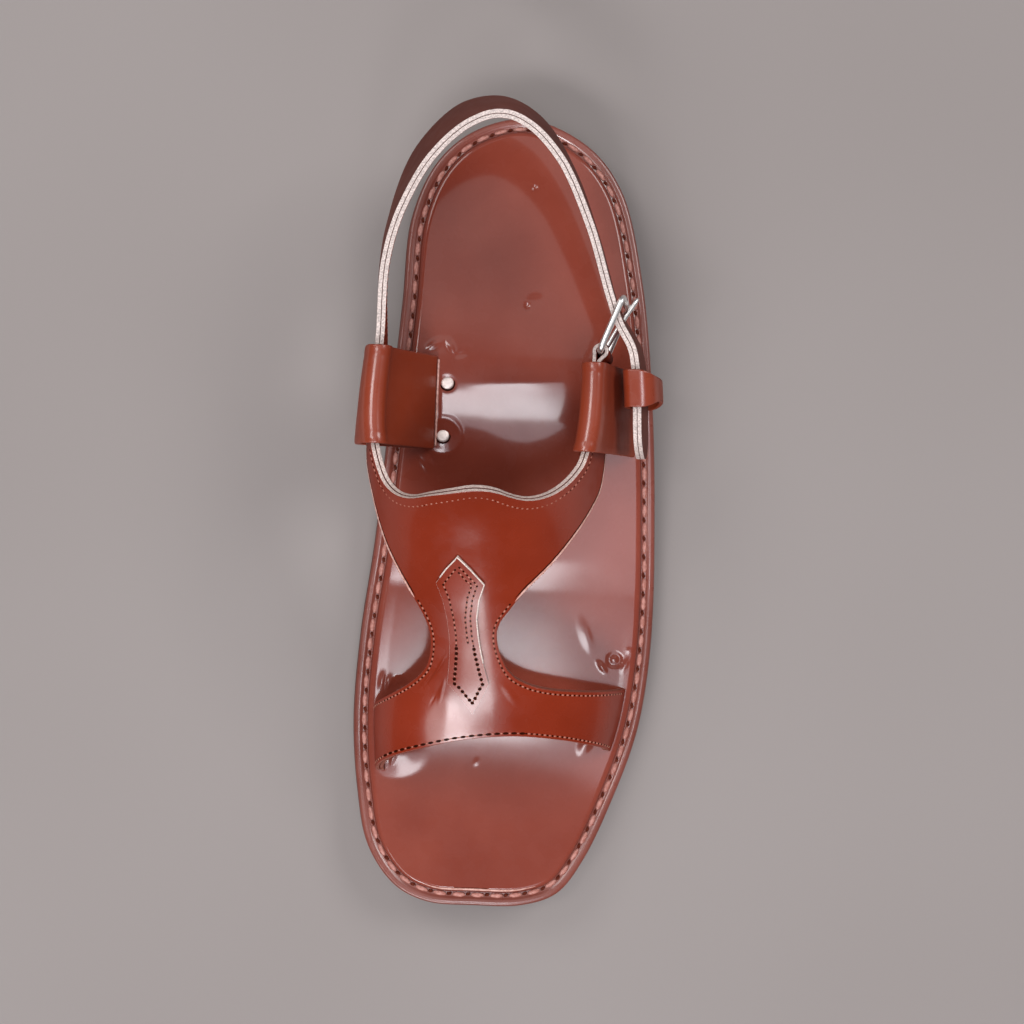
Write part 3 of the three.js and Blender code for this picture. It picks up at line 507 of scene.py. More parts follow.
def make_rubber(name, deep, bright):
    finish = Finish(name, ior=1.5)
    cloud = finish.noise(70, 4)
    finish.set("Base Color", finish.mix(finish.ramp(cloud, 0.35, 0.68), deep, bright))
    finish.set("Roughness", finish.ramp(cloud, 0.3, 0.7, 0.42, 0.56))
    scuff = finish.noise(420, 3, (1, 1, 0.25))
    finish.set("Normal", finish.bump(scuff, 0.25, 0.0003))
    return finish.material


sole_rubber = make_rubber("sole_rubber", (0.085, 0.018, 0.011), (0.125, 0.028, 0.017))
heel_rubber = make_rubber("heel_rubber", (0.052, 0.014, 0.01), (0.08, 0.02, 0.014))
welt_leather = red_leather(
    "welt_leather", (0.16, 0.034, 0.021), (0.23, 0.056, 0.038),
    rough=0.3, gloss=(0.6, 0.85), soft=0.16, wave=0.1,
)


def make_thread(name, deep, bright, rough, shine=0.5):
    finish = Finish(name, ior=1.5, specular_ior_level=shine)
    twist = finish.noise(900, 2)
    finish.set("Base Color", finish.mix(finish.ramp(twist, 0.35, 0.65), deep, bright))
    finish.set("Roughness", finish.ramp(twist, 0.3, 0.7, rough, rough + 0.15))
    finish.set("Normal", finish.bump(twist, 0.6, 0.0002))
    return finish.material


welt_thread = make_thread("welt_thread", (0.36, 0.13, 0.1), (0.5, 0.22, 0.18), 0.35)
seam_thread = make_thread("seam_thread", (0.3, 0.085, 0.05), (0.45, 0.17, 0.12), 0.35)
# The next three finishes are painted light: a near-black one for the shade inside pinholes, furrows
# and round pressed tacks, a dark brown one for the shade inside the welt's stitch holes, and a pale
# one for the highlight along creased edges and the insole's lips.
dark_painted_shade = make_thread("dark_painted_shade", (0.018, 0.003, 0.001), (0.032, 0.006, 0.003), 0.8, 0.0)
welt_hole_painted_shade = make_thread("welt_hole_painted_shade", (0.075, 0.014, 0.008), (0.11, 0.024, 0.014), 0.8, 0.0)
painted_edge_highlight = make_thread("painted_edge_highlight", (0.5, 0.24, 0.19), (0.68, 0.4, 0.34), 0.3)


def make_metal(name, colour, rough):
    finish = Finish(name, metallic=1.0)
    haze = finish.noise(300, 3)
    tone = finish.ramp(haze, 0.4, 0.75)
    finish.set("Base Color", finish.mix(tone, colour, darker(colour, 0.8)))
    finish.set("Roughness", finish.ramp(haze, 0.3, 0.7, rough, rough + 0.1))
    finish.set("Normal", finish.bump(finish.noise(1500, 2), 0.08, 0.0001))
    return finish.material


buckle_metal = make_metal("buckle_metal", (0.93, 0.9, 0.88), 0.3)
tack_metal = make_metal("tack_metal", (0.9, 0.78, 0.73), 0.5)
print("finishes:", len(bpy.data.materials))

# %% [markdown]
# ## Making pieces
# Every piece is a mesh from lists of points and faces. Leather is made as a thin skin at
# the height of its flesh side, then given its thickness by a Solidify modifier, which
# also gives the cut edge its own finish, and a small Bevel rounds that edge.

# %% A piece from points and faces
def make_piece(name, points, faces, finishes, slot="upper_leather"):
    """A smooth-shaded mesh that rides on the shoe's one body, from points in millimetres."""
    mesh = bpy.data.meshes.new(name)
    points = np.asarray(points).reshape(-1, 3) * MM
    mesh.from_pydata(points.tolist(), [], [list(map(int, f)) for f in faces])
    for finish in finishes:
        mesh.materials.append(finish)
    mesh.polygons.foreach_set("use_smooth", [True] * len(mesh.polygons))
    mesh.update()
    piece = bpy.data.objects.new(name, mesh)
    bpy.context.scene.collection.objects.link(piece)
    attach(piece, "root")
    print(f"{name}: {len(points)} points, {len(faces)} faces, {slot}")
    return piece


def grid_faces(rows, columns, wrap_rows=False, wrap_columns=False):
    """Faces between the points of a grid, numbered row by row."""
    faces = []
    for i in range(rows if wrap_rows else rows - 1):
        for j in range(columns if wrap_columns else columns - 1):
            a, b = i * columns, (i + 1) % rows * columns
            k = (j + 1) % columns
            faces.append((a + j, b + j, b + k, a + k))
    return faces


def give_thickness(piece, thick, round_edge):
    solid = piece.modifiers.new("thickness", "SOLIDIFY")
    solid.thickness, solid.offset = thick * MM, 1
    solid.use_even_offset = True
    solid.material_offset_rim = 1
    bevel = piece.modifiers.new("worn edge", "BEVEL")
    bevel.width, bevel.segments = round_edge * MM, 3
    bevel.limit_method, bevel.angle_limit = "ANGLE", math.radians(50)
    bevel.harden_normals = True


def grid_normals(rows, closed=False):
    """Unit normals of a grid of points, from its neighbours each way."""
    rows = np.asarray(rows)
    if closed:
        down = np.roll(rows, -1, 0) - np.roll(rows, 1, 0)
    else:
        down = np.gradient(rows, axis=0)
    return unit(np.cross(down, np.gradient(rows, axis=1)))


def make_strip(name, rows, low, high, finishes, closed=False, round_edge=0.3):
    """Leather between two depths off a grid of middle points."""
    rows = np.asarray(rows)
    skin = rows + grid_normals(rows, closed) * low
    piece = make_piece(name, skin, grid_faces(*rows.shape[:2], wrap_rows=closed), finishes)
    give_thickness(piece, high - low, round_edge)
    return piece


# %% [markdown]
# ## Stitches
# A row of stitches is many copies of one small bead of thread, each turned along the seam and
# pressed into the leather, with a near-black bead between it and the next that is painted shade of
# the pinhole. All the copies go into one mesh, which keeps the file light.

# %% Rows of stitches
def ball(around=10, up=6):
    """A unit ball as points and faces."""
    turn = turns(around)
    rise = np.linspace(-math.pi / 2, math.pi / 2, up + 1)[1:-1]
    rings = [
        [(math.cos(r) * math.cos(t), math.cos(r) * math.sin(t), math.sin(r)) for t in turn]
        for r in rise
    ]
    points = np.array([p for ring in rings for p in ring] + [(0, 0, -1), (0, 0, 1)])
    faces = [tuple(f) for f in grid_faces(up - 1, around, wrap_columns=True)]
    faces = [f[::-1] for f in faces]
    bottom, top = len(points) - 2, len(points) - 1
    last = (up - 2) * around
    for k in range(around):
        n = (k + 1) % around
        faces += [(bottom, n, k), (top, last + k, last + n)]
    return points, faces


def square_off(run, out):
    """Unit vectors along and out of a seam, square to each other."""
    run = unit(run)
    return run, unit(out - run * (out * run).sum(1)[:, None])


def between(*lines):
    """Half way from each entry of a line to the next."""
    return [(line[1:] + line[:-1]) / 2 for line in lines]


def seam_points(line, normals, pitch):
    """Evenly spaced places along a seam, with their run and their way out."""
    line, normals = np.asarray(line), np.asarray(normals)
    count = max(2, round(line_length(line) / pitch) + 1)
    places = spaced(np.hstack([line, normals]), count)
    at, out = places[:, :3], places[:, 3:]
    return at, *square_off(np.gradient(at, axis=0), out)


def scatter(name, at, run, out, size, finish, slot="upper_leather", sink=0.0, slant=0.0):
    """One mesh of small beads at places along a seam."""
    shape, faces = ball()
    side = np.cross(out, run)
    run, side = (
        run * math.cos(slant) + side * math.sin(slant),
        side * math.cos(slant) - run * math.sin(slant),
    )
    points = (
        at[:, None] - out[:, None] * sink
        + run[:, None] * shape[None, :, :1] * size[0]
        + side[:, None] * shape[None, :, 1:2] * size[1]
        + out[:, None] * shape[None, :, 2:] * size[2]
    )
    many = [tuple(v + k * len(shape) for v in f) for k in range(len(at)) for f in faces]
    return make_piece(name, points, many, [finish], slot)


def stitch_row(name, line, normals, pitch, hole=(0.5, 0.42, 0.22), bead=(0.5, 0.34, 0.28)):
    """Near-black beads along a seam as painted shade of its holes, and a bead of thread between
    each two.
    """
    at, run, out = seam_points(line, normals, pitch)
    middle, middle_run, middle_out = between(at, run, out)
    scatter(name, middle, *square_off(middle_run, middle_out), bead, seam_thread, sink=0.1)
    scatter(name + "_holes", at, run, out, hole, dark_painted_shade, sink=0.1)


# %% [markdown]
# ## The sole
# From the ground up: a heel block, an outsole with a rounded edge, a welt all round the
# top, and the insole that the foot stands on. Each is a stack of copies of the sole
# pattern at different insets and heights. A cross-section is enough to describe them.

# %% Stacks of the sole pattern
ROUND = 360


def lifted(inset, lift, count=ROUND):
    ring = footprint(inset, count, 0.5)
    return np.column_stack([ring, sole_height(ring[:, 1]) + lift])


def make_stack(name, ring, profile, finish, slot, hollow=False):
    """Rings over each other, one for each inset and lift, capped straight across."""
    rings = np.array([ring(*step) for step in profile])
    count = rings.shape[1]
    faces = grid_faces(len(rings), count, wrap_rows=hollow, wrap_columns=True)
    if not hollow:
        top = (len(rings) - 1) * count
        for i in range(count // 2 - 1):
            a, b, c, d = i, count - 1 - i, count - 2 - i, i + 1
            faces += [(a, d, c, b), (top + a, top + b, top + c, top + d)]
    return make_piece(name, rings, faces, [finish], slot)


outsole = make_stack("outsole_shaped", lifted, [
    (3, 0), (1.4, 0.05), (0.4, 0.5), (0, 1.4), (0.05, 3.9), (0.22, 4.1), (0.05, 4.3),
    (0, OUTSOLE - 1), (0.3, OUTSOLE - 0.3), (1, OUTSOLE), (3, OUTSOLE),
], sole_rubber, "sole_rubber")
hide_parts("outsole")

# %% [markdown]
# The heel block is cut to the sole's own outline and straight across in front. It takes
# the same outline, thinned to the points behind that line.

# %% Heel block
HEEL_FRONT = 0.265  # share along the sole
HEEL_SIDE = 60  # points on each side


def heel_ring(inset, height, count=600):
    """The back part of the sole's outline at one level."""
    along = to_along(footprint(0, count, 0.5)[:, 1])
    keep = np.flatnonzero(along < HEEL_FRONT)
    outer, inner = keep[keep < count // 2], keep[keep >= count // 2]
    ring = footprint(inset, count, 0.5)
    halves = [spaced(ring[side], HEEL_SIDE) for side in (outer, inner)]
    return np.column_stack([np.vstack(halves), np.full(2 * HEEL_SIDE, height)])


heel = make_stack("heel_shaped", heel_ring, [
    (3.2, 0), (2.4, 0.05), (1.7, 0.5), (1.4, 1.2), (1.1, 5.6), (1.35, 5.8), (1.1, 6),
    (0.6, HEEL_HIGH - GAP),
], heel_rubber, "heel_rubber")
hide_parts("heel_block")

# %% [markdown]
# The welt is a strip of leather laid round the insole. Its section has a rounded edge, and
# a shallow channel for the thread, so it is a closed ring of profiles rather than a plate.

# %% Welt
WELT_FOOT = OUTSOLE + GAP
WELT_TOP = WELT_FOOT + WELT_THICK
welt = make_stack("welt_shaped", lifted, [
    (0.9, WELT_FOOT), (0.4, WELT_FOOT + 0.3), (0.3, WELT_FOOT + 1.2), (0.32, WELT_TOP - 1),
    (0.6, WELT_TOP - 0.35), (1.2, WELT_TOP - 0.05), (2.2, WELT_TOP), (2.9, WELT_TOP - 0.12),
    (3.2, WELT_TOP - 0.4), (3.5, WELT_TOP - 0.5), (4.6, WELT_TOP - 0.5),
    (4.95, WELT_TOP - 0.25), (5.34, WELT_TOP - 0.3), (5.34, WELT_FOOT),
], welt_leather, "welt_leather", hollow=True)
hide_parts("welt")

# %% [markdown]
# The welt is sewn down with thick thread. The photo shows its stitches as pale beads in
# a row, nearly seven millimetres from one to the next, with a dark hole between two.

# %% Welt stitches
WELT_PITCH = 6.8
seam_ring = lifted(4.05, WELT_TOP - 0.42)
seam_ring = np.vstack([seam_ring, seam_ring[:1]])
at, run, out = seam_points(seam_ring, np.tile(UPWARD, (len(seam_ring), 1)), WELT_PITCH)
scatter("welt_stitches", *between(at, run, out), (2.5, 0.95, 0.62), welt_thread, "welt_leather")
# The dark brown beads between the stitches are painted shade of the thread holes.
inward = np.cross(run, out)
scatter(
    "welt_holes", (at + inward * 0.25)[:-1], run[:-1], out[:-1], (0.98, 0.62, 0.26),
    welt_hole_painted_shade, "welt_leather", sink=-0.02, slant=0.35,
)

# %% [markdown]
# ## The insole
# The foot's leather is pressed down by use: it has a rounded rim, a shallow hollow under
# the ball, and soft puckers near the tacks and where loops and bar pull it. Its surface
# is a fine grid between the outline's two halves, and each dent is a smooth patch of
# height, because the gloss shows dents that a bump in the material would leave too soft.

# %% Insole with its dents
INSOLE_TOP = WELT_FOOT + INSOLE
# x, y, half length, half width, turn in degrees, height
INSOLE_OVALS = [
    # pressed by the ball, raised at the inner waist
    (0, -158, 64, 52, 0, -0.5), (-30, -176, 16, 14, 0, -0.3), (-36, -68, 28, 24, 0, 0.4),
    # round the tacks and along the loop's slit
    (-25, -59.3, 3.8, 3.8, 0, -0.3), (-25.8, -78, 5.6, 5.6, 0, -0.4),
    (-28, -66, 17, 1, 91, 0.45), (-30.4, -46, 4.5, 1.6, 35, 0.4),
    (-24.3, -46.4, 4, 1.4, -60, 0.4), (-20.5, -49, 3, 1.2, 20, -0.2),
    (-31.8, -88.5, 5, 1.6, -55, 0.35), (-29.6, -86, 4, 1.2, -50, -0.25),
    (4, -58, 26, 3.4, 3, 0.14),
    # heel
    (2.1, -31.1, 1.5, 1.2, 0, -0.5), (4.2, -29.2, 5, 3.4, 30, -0.15),
    (3.1, 10.9, 1.3, 1.3, 0, -0.4),
    # behind the bar, outer side
    (35.2, -158.9, 3.6, 0.9, -52, 0.4), (43.9, -157.6, 4.2, 0.9, 64, 0.4),
    (45.1, -152.6, 1.3, 1.3, 0, 0.35), (29, -147.5, 9, 3, -69, 0.1),
    # behind the bar, inner side
    (-44.2, -166.6, 4.2, 0.9, 82, 0.45), (-41.6, -167.5, 3.6, 0.8, 80, 0.4),
    (-37.4, -168.3, 3.4, 2.4, 20, -0.7),
    # in front of the bar
    (-38, -193, 9, 12.5, 90, 0.46), (-41.8, -195.6, 3.2, 1.2, 78, 0.25),
    (-39.2, -194.6, 3.2, 1.1, 62, 0.25), (-9, -194.8, 1.8, 0.7, 62, 0.12),
    (30.5, -187.2, 5.5, 3, 60, 0.28),
]
INSOLE_RINGS = [  # x, y, radius, half width, height
    (-26, -78, 6.4, 1.6, 0.2), (39.6, -156.1, 2, 0.8, -0.35), (-37.6, -168, 2.2, 0.8, -0.3),
]


def oval_height(x, y, ovals):
    """The sum of oval patches, each fading smoothly to nothing at its edge."""
    height = np.zeros_like(x)
    for cx, cy, long, wide, turn, high in ovals:
        c, s = math.cos(math.radians(turn)), math.sin(math.radians(turn))
        dx, dy = x - cx, y - cy
        far = np.hypot((dx * c + dy * s) / long, (dy * c - dx * s) / wide)
        height = height + high * ease(np.clip(1 - far, 0, 1))
    return height


def insole_height(x, y, edge):
    height = oval_height(x, y, INSOLE_OVALS)
    for cx, cy, radius, wide, high in INSOLE_RINGS:
        far = np.abs(np.hypot(x - cx, y - cy) - radius) / wide
        height = height + high * ease(np.clip(1 - far, 0, 1))
    return sole_height(y) + INSOLE_TOP + np.clip(edge / 4, 0, 1) * height


rim = WELT_WIDE + GAP + 0.03
edge_steps = [
    (0.4, -INSOLE), (0, -INSOLE + 0.6), (0, -2), (0.12, -1.2), (0.45, -0.55), (1, -0.16), (1.7, 0),
]
FINE = 880  # points round the edge
ACROSS = 130  # steps from side to side
side_columns = [lifted(rim + inset, INSOLE_TOP + drop, count=FINE) for inset, drop in edge_steps]
half_count = FINE // 2
inner_ring = side_columns[-1]
outer_half, inner_half = inner_ring[:half_count], inner_ring[half_count:][::-1]
share = np.linspace(0, 1, ACROSS + 1)[1:-1][None, :, None]
middle_part = outer_half[:, None] * (1 - share) + inner_half[:, None] * share
wide = np.linalg.norm(outer_half - inner_half, axis=1)[:, None]
edge_far = np.minimum(share[..., 0], 1 - share[..., 0]) * wide
middle_part[..., 2] = insole_height(middle_part[..., 0], middle_part[..., 1], edge_far)
columns = [ring[:half_count] for ring in side_columns]
columns += [middle_part[:, k] for k in range(ACROSS - 1)]
columns += [ring[half_count:][::-1] for ring in side_columns[::-1]]
insole_grid = np.stack(columns, 1)
n_rows, n_columns = insole_grid.shape[:2]
insole_faces = [f[::-1] for f in grid_faces(n_rows, n_columns)]
for a in range(0, (n_rows - 1) * n_columns, n_columns):  # the flesh side, straight across
    b = a + n_columns
    insole_faces.append((a, b, b + n_columns - 1, a + n_columns - 1))
for row, flip in ((0, True), (n_rows - 1, False)):
    for k in range(n_columns // 2):
        pair = (k, k + 1, n_columns - 2 - k, n_columns - 1 - k)
        cap = tuple(dict.fromkeys(row * n_columns + v for v in pair))
        insole_faces.append(cap[::-1] if flip else cap)
insole = make_piece("insole_shaped", insole_grid, insole_faces, [insole_leather], "insole_leather")
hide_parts("insole")

# %% [markdown]
# ## The vamp
# The T-strap is cut in one piece: a bar over the toes, a narrow neck and a band over the
# instep whose ends go into the side loops. It is two plies, polished leather outside and
# lining inside, so its cut edge shows a fine dark line between two pale ones. Its edges
# are curves on the last. The sheet between them is laid out in three blocks that share
# their borders.

# %% Edges of the vamp, as angle round the last and share along the sole
FRONT_EDGE = [(0, 0.832), (18, 0.8195), (39, 0.8032), (56, 0.791), (80, 0.7751), (103, 0.7684),
              (125, 0.7727), (148, 0.7824), (180, 0.797)]
INNER_WINDOW = [(0, 0.752), (20, 0.74), (38, 0.7246), (53, 0.7051), (62.2, 0.6843), (65.8, 0.6586),
                (65.9, 0.637), (63.7, 0.6199), (58.2, 0.5962), (50.2, 0.5661), (41.9, 0.5368),
                (35, 0.5104), (25, 0.47)]
OUTER_WINDOW = [(180, 0.7175), (160, 0.716), (136, 0.7134), (117, 0.7083), (107.7, 0.7008),
                (101.6, 0.69), (98.4, 0.672), (96.8, 0.647), (98.1, 0.6292), (103, 0.6114),
                (111.2, 0.5867), (126, 0.5517), (139.7, 0.5174), (150.5, 0.4893), (161, 0.4612)]
THROAT = [(40, 0.4595), (49, 0.4748), (58.6, 0.4793), (70, 0.4745), (80, 0.4701), (90, 0.4657),
          (99.3, 0.4669), (108.6, 0.4744), (115, 0.4764), (123.8, 0.4719), (133.7, 0.4592),
          (141.7, 0.444)]
INNER_END, OUTER_END = 0.362, 0.333
EVEN = 300  # makes a share along as long as an angle of similar size


def wing(side, height, stations):
    return [(float(angle_at(side, a, height)), a) for a in stations]


def pattern_line(points):
    return curve_through([(angle, along * EVEN) for angle, along in points], fine=60)


def cut(line, start, end, count):
    """count steps between two shares of a pattern line, as angle and along."""
    return spaced(line, count + 1, start, end) / (1, EVEN)


inner_line = pattern_line(INNER_WINDOW + wing(-1, STRAP_LOW, (0.43, 0.395, INNER_END)))
outer_line = pattern_line(OUTER_WINDOW + wing(1, STRAP_LOW, (0.43, 0.39, OUTER_END)))
throat_line = pattern_line([
    *wing(-1, STRAP_HIGH, (INNER_END, 0.395, 0.43)), *THROAT,
    *wing(1, STRAP_HIGH, (0.43, 0.39, OUTER_END)),
])
front_line = pattern_line(FRONT_EDGE)
print("front edge:", len(front_line), "points of a pattern line")


def share_where(line, column, test, count=4000):
    """The share of a pattern line's length at which a test first holds."""
    return np.argmax(test(cut(line, 0, 1, count)[:, column])) / count


NECK_FROM, NECK_TO = 0.684, 0.58  # shares along the sole


# %% [markdown]
# Bar, neck and band are laid out as grids of angle and share, so that the cut edges run
# along rows of points. A point that two grids share is made only once. The bar's ends
# also go down into the insole, where they are held.

# %% Lay out the vamp's sheet
def lay_vamp(fine=2):
    """Points (angle, along, drop) and faces of the whole vamp."""
    points, faces, seen = [], [], {}

    def number(p):
        key = (round(float(p[0]), 3), round(float(p[1]) + 1e-7, 5), round(float(p[2]), 2))
        if key not in seen:
            seen[key] = len(points)
            points.append(p)
        return seen[key]

    def lay(upper, lower, count):
        columns = [
            [number(upper[i] * (1 - t) + lower[i] * t) for t in np.linspace(0, 1, count + 1)]
            for i in range(len(upper))
        ]
        for a, b in zip(columns, columns[1:]):
            faces.extend((a[j], a[j + 1], b[j + 1], b[j]) for j in range(count))

    def flat(pairs):
        return np.column_stack([pairs, np.zeros(len(pairs))])

    across = 6 * fine
    inner_neck, inner_band, outer_neck, outer_band = (
        share_where(line, 1, lambda a: a < along)
        for line in (inner_line, outer_line) for along in (NECK_FROM, NECK_TO)
    )
    side = 9 * fine
    inner_bar = cut(inner_line, 0, inner_neck, side)
    outer_bar = cut(outer_line, 0, outer_neck, side)[::-1]
    neck = np.linspace(inner_bar[-1], outer_bar[0], across + 1)
    rear = np.vstack([inner_bar[:-1], neck, outer_bar[1:]])
    front = cut(front_line, 0, 1, 2000)
    front = np.column_stack([rear[:, 0], np.interp(rear[:, 0], front[:, 0], front[:, 1])])
    lay(flat(rear), flat(front), 6 * fine)
    drop = np.array([0, 0, INSOLE - GAP])
    for end, flip in ((0, False), (-1, True)):
        line = np.linspace(flat(rear)[end], flat(front)[end], 6 * fine + 1)
        for k in range(fine):
            a, b = line + drop * (1 - k / fine), line + drop * (1 - (k + 1) / fine)
            a, b = (b, a) if flip else (a, b)
            for j in range(len(line) - 1):
                faces.append(tuple(number(p) for p in (a[j], a[j + 1], b[j + 1], b[j])))
    steps = 8 * fine
    inner_side = cut(inner_line, inner_neck, inner_band, steps)
    outer_side = cut(outer_line, outer_neck, outer_band, steps)
    rows = [np.linspace(p, q, across + 1) for p, q in zip(inner_side, outer_side)]
    rows[0] = neck
    for lower, upper in zip(rows, rows[1:]):
        low, high = [[number(p) for p in flat(r)] for r in (lower, upper)]
        faces.extend((high[j], low[j], low[j + 1], high[j + 1]) for j in range(across))
    wings = 11 * fine
    inner_throat = share_where(throat_line, 0, lambda a: a >= 67)
    outer_throat = share_where(throat_line, 0, lambda a: a >= 113)
    low = np.vstack([
        cut(inner_line, inner_band, 1, wings)[::-1][:-1], rows[-1],
        cut(outer_line, outer_band, 1, wings)[1:],
    ])
    high = np.vstack([
        cut(throat_line, 0, inner_throat, wings)[:-1],
        cut(throat_line, inner_throat, outer_throat, across),
        cut(throat_line, outer_throat, 1, wings)[1:],
    ])
    lay(flat(high), flat(low), 6 * fine)
    return np.array(points), faces


def place_vamp(points, depth):
    angle, along, drop = points.T
    at = off_last(angle, along, depth)
    seam = (angle < 0.01) | (angle > 179.99)
    y = to_y(along[seam])
    side = np.where(angle[seam] < 90, -1, 1)
    x = np.where(side < 0, edge_x(-1, y, STRAP_IN - depth), edge_x(1, y, STRAP_IN - depth))
    at[seam] = np.column_stack([x, y, footbed(y) - drop[seam]])
    return at


vamp_points, vamp_faces = lay_vamp()
PLY = LEATHER / 2
GLUE = 0.06  # the seen line between the plies
for name, depth, leather, round_edge in (
    ("outside", PLY + GLUE, upper_leather, 0.35), ("lining", 0, lining_leather, 0.3),
):
    at = place_vamp(vamp_points, depth)
    vamp = make_piece("vamp_" + name, at, vamp_faces, [leather, vamp_edge])
    give_thickness(vamp, PLY - GLUE, round_edge)
    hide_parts("vamp")

# %% [markdown]
# One row of stitches follows each edge of the vamp, a little inside it. The near-black beads that
# paint the shade of its holes are long across the middle of the front edge, elsewhere they are fine
# dots.

# %% Seams of the vamp
def seam_on_vamp(line, start, end, inset, flip, count=160):
    """A line on the vamp's outside, moved in from its edge."""
    pairs = cut(line, start, end, count)
    at = off_last(pairs[:, 0], pairs[:, 1], LEATHER)
    normal = last_normal(pairs[:, 0], pairs[:, 1])
    run = unit(np.gradient(at, axis=0))
    inward = np.cross(normal, run) * (-1 if flip else 1)
    return at + inward * inset, normal


CREASED = 0.605  # share along the sole where the windows' stitches end
inner_crease = share_where(inner_line, 1, lambda a: a < CREASED)
outer_crease = share_where(outer_line, 1, lambda a: a < CREASED)
DASH = {"pitch": 3.0, "hole": (1.1, 0.52, 0.28), "bead": (0.45, 0.34, 0.26)}
DOT = {"pitch": 1.95, "hole": (0.44, 0.4, 0.2), "bead": (0.55, 0.38, 0.32)}
seams = {
    "front_inner": (front_line, 0.05, 0.17, 1.25, False, DOT),
    "front_edge": (front_line, 0.18, 0.6, 1.25, False, DASH),
    "front_outer": (front_line, 0.61, 0.95, 1.25, False, DOT),
    "inner_window": (inner_line, 0.03, inner_crease, 1.3, True, DOT),
    "outer_window": (outer_line, 0.04, outer_crease, 1.3, False, DOT),
    "throat": (throat_line, 0.12, 0.88, 3.1, True, DOT),
}
for name, (line, start, end, inset, flip, kind) in seams.items():
    stitch_row("stitches_" + name, *seam_on_vamp(line, start, end, inset, flip), **kind)

# %% [markdown]
# Above the stitches a hot iron has run along the edges of the wings and left a raised bead at the
# edge and a furrow beside it. Both are thin wires laid on the leather, because a bump in the
# material would be too soft at this width: the bead's pale colour is a painted highlight, and the
# near-black furrow wire is painted shade.

# %% Creased edges of the wings, with painted highlight and shade
def tapered(count, over, least):
    """1 along a line, falling to a least share over some steps at both ends."""
    steps = np.minimum(np.arange(count), np.arange(count)[::-1])
    return np.clip(steps / over + least, 0, 1)


def make_wire(
    name, line, radius, finish, slot="upper_leather", side=UPWARD, closed=False, around=8
):
    """A round wire along a line of points, capped flat at both ends if it is open."""
    line = np.asarray(line)
    radius = np.broadcast_to(radius, len(line)).astype(float)
    if closed:
        run = np.roll(line, -1, 0) - np.roll(line, 1, 0)
    else:
        run = np.gradient(line, axis=0)
    run = unit(run)
    across = unit(side - run * (run @ side)[:, None])
    other = np.cross(run, across)
    turn = turns(around)
    rows = line[:, None] + radius[:, None, None] * (
        across[:, None] * np.cos(turn)[None, :, None] + other[:, None] * np.sin(turn)[None, :, None]
    )
    faces = [f[::-1] for f in grid_faces(len(line), around, wrap_rows=closed, wrap_columns=True)]
    if not closed:
        last = (len(line) - 1) * around
        faces += [tuple(range(around))[::-1], tuple(last + k for k in range(around))]
    return make_piece(name, rows, faces, [finish], slot)


for name, line, start, flip in (
    ("inner", inner_line, inner_crease, True), ("outer", outer_line, outer_crease, False),
):
    # the pale bead is a painted highlight, the near-black furrow is painted shade
    for kind, inset, sink, radius, finish in (
        ("bead", 0.5, 0.2, 0.46, painted_edge_highlight), ("furrow_painted_shade", 1.25, 0.16, 0.28, dark_painted_shade),
    ):
        at, normal = seam_on_vamp(line, start, 0.985, inset, flip)
        make_wire(
            f"{kind}_{name}", at - normal * sink, radius * tapered(len(at), 12, 0.15), finish
        )

# %% [markdown]
# ## The overlay
# A dagger-shaped piece of leather is sewn down the T, two rows of stitches side by side
# with its edges. It is made as the vamp is, a little further off the last.

# %% Overlay
OVERLAY_SHAPE = np.array([  # along, angle of its inner edge, angle of its outer edge
    (0.5439, 82.9, 82.9), (0.559, 77.5, 88.2), (0.5765, 72.4, 93.4), (0.596, 74.8, 90.6),
    (0.619, 76, 88.9), (0.64, 76.2, 88.8), (0.66, 75.6, 89.2), (0.682, 74.2, 90.2),
    (0.7, 72.9, 91.4), (0.721, 78.8, 87.6), (0.7392, 84, 84),
])


def overlay_rows(fine=5, across=10):
    line = OVERLAY_SHAPE
    t = np.linspace(0, len(line) - 1, (len(line) - 1) * fine + 1)
    along, inner, outer = (np.interp(t, np.arange(len(line)), line[:, k]) for k in range(3))
    inner[[0, -1]] -= 0.3  # blunt points
    outer[[0, -1]] += 0.3
    share = np.linspace(0, 1, across + 1)
    angle = inner[:, None] * (1 - share) + outer[:, None] * share
    return angle, np.repeat(along[:, None], across + 1, 1)


seat = LEATHER + 0.05
angle, along = overlay_rows()
overlay = make_piece(
    "overlay_dagger", off_last(angle, along, seat), grid_faces(*angle.shape),
    [upper_leather, overlay_edge],
)
give_thickness(overlay, OVERLAY - 0.2, 0.5)
overlay.modifiers["worn edge"].material = 1
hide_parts("vamp_overlay")

# the cut edge that shows round the upper point: rows on the inner side, then the outer
inner_rows, outer_rows = slice(8, None, -1), slice(1, 34)
border = [np.r_[grid[inner_rows, 0], grid[outer_rows, -1]] for grid in (angle, along)]
border_at = off_last(*border, LEATHER + OVERLAY - 0.3)
make_wire("overlay_rim", border_at, 0.27, overlay_edge)


def overlay_seam(inset, inner):
    """A line inside the overlay's edge, from its upper point to its lower one."""
    degree = 0.75  # mm of width for each degree round the last
    low, high, far = angle[:, 0], angle[:, -1], along[:, 0] * SOLE_LONG
    edges = []
    for edge, way in ((low, 1), (high, -1)):
        slope = np.gradient(edge * degree, far)
        edges.append(edge + way * inset * np.sqrt(1 + slope**2) / degree)
    keep = (edges[1] - edges[0] > 0.4) & (far > far[0] + inset) & (far < far[-1] - inset)
    line = (edges[0] if inner else edges[1])[keep]
    at = off_last(line, along[keep, 0], seat + OVERLAY - 0.2)
    return at, last_normal(line, along[keep, 0])


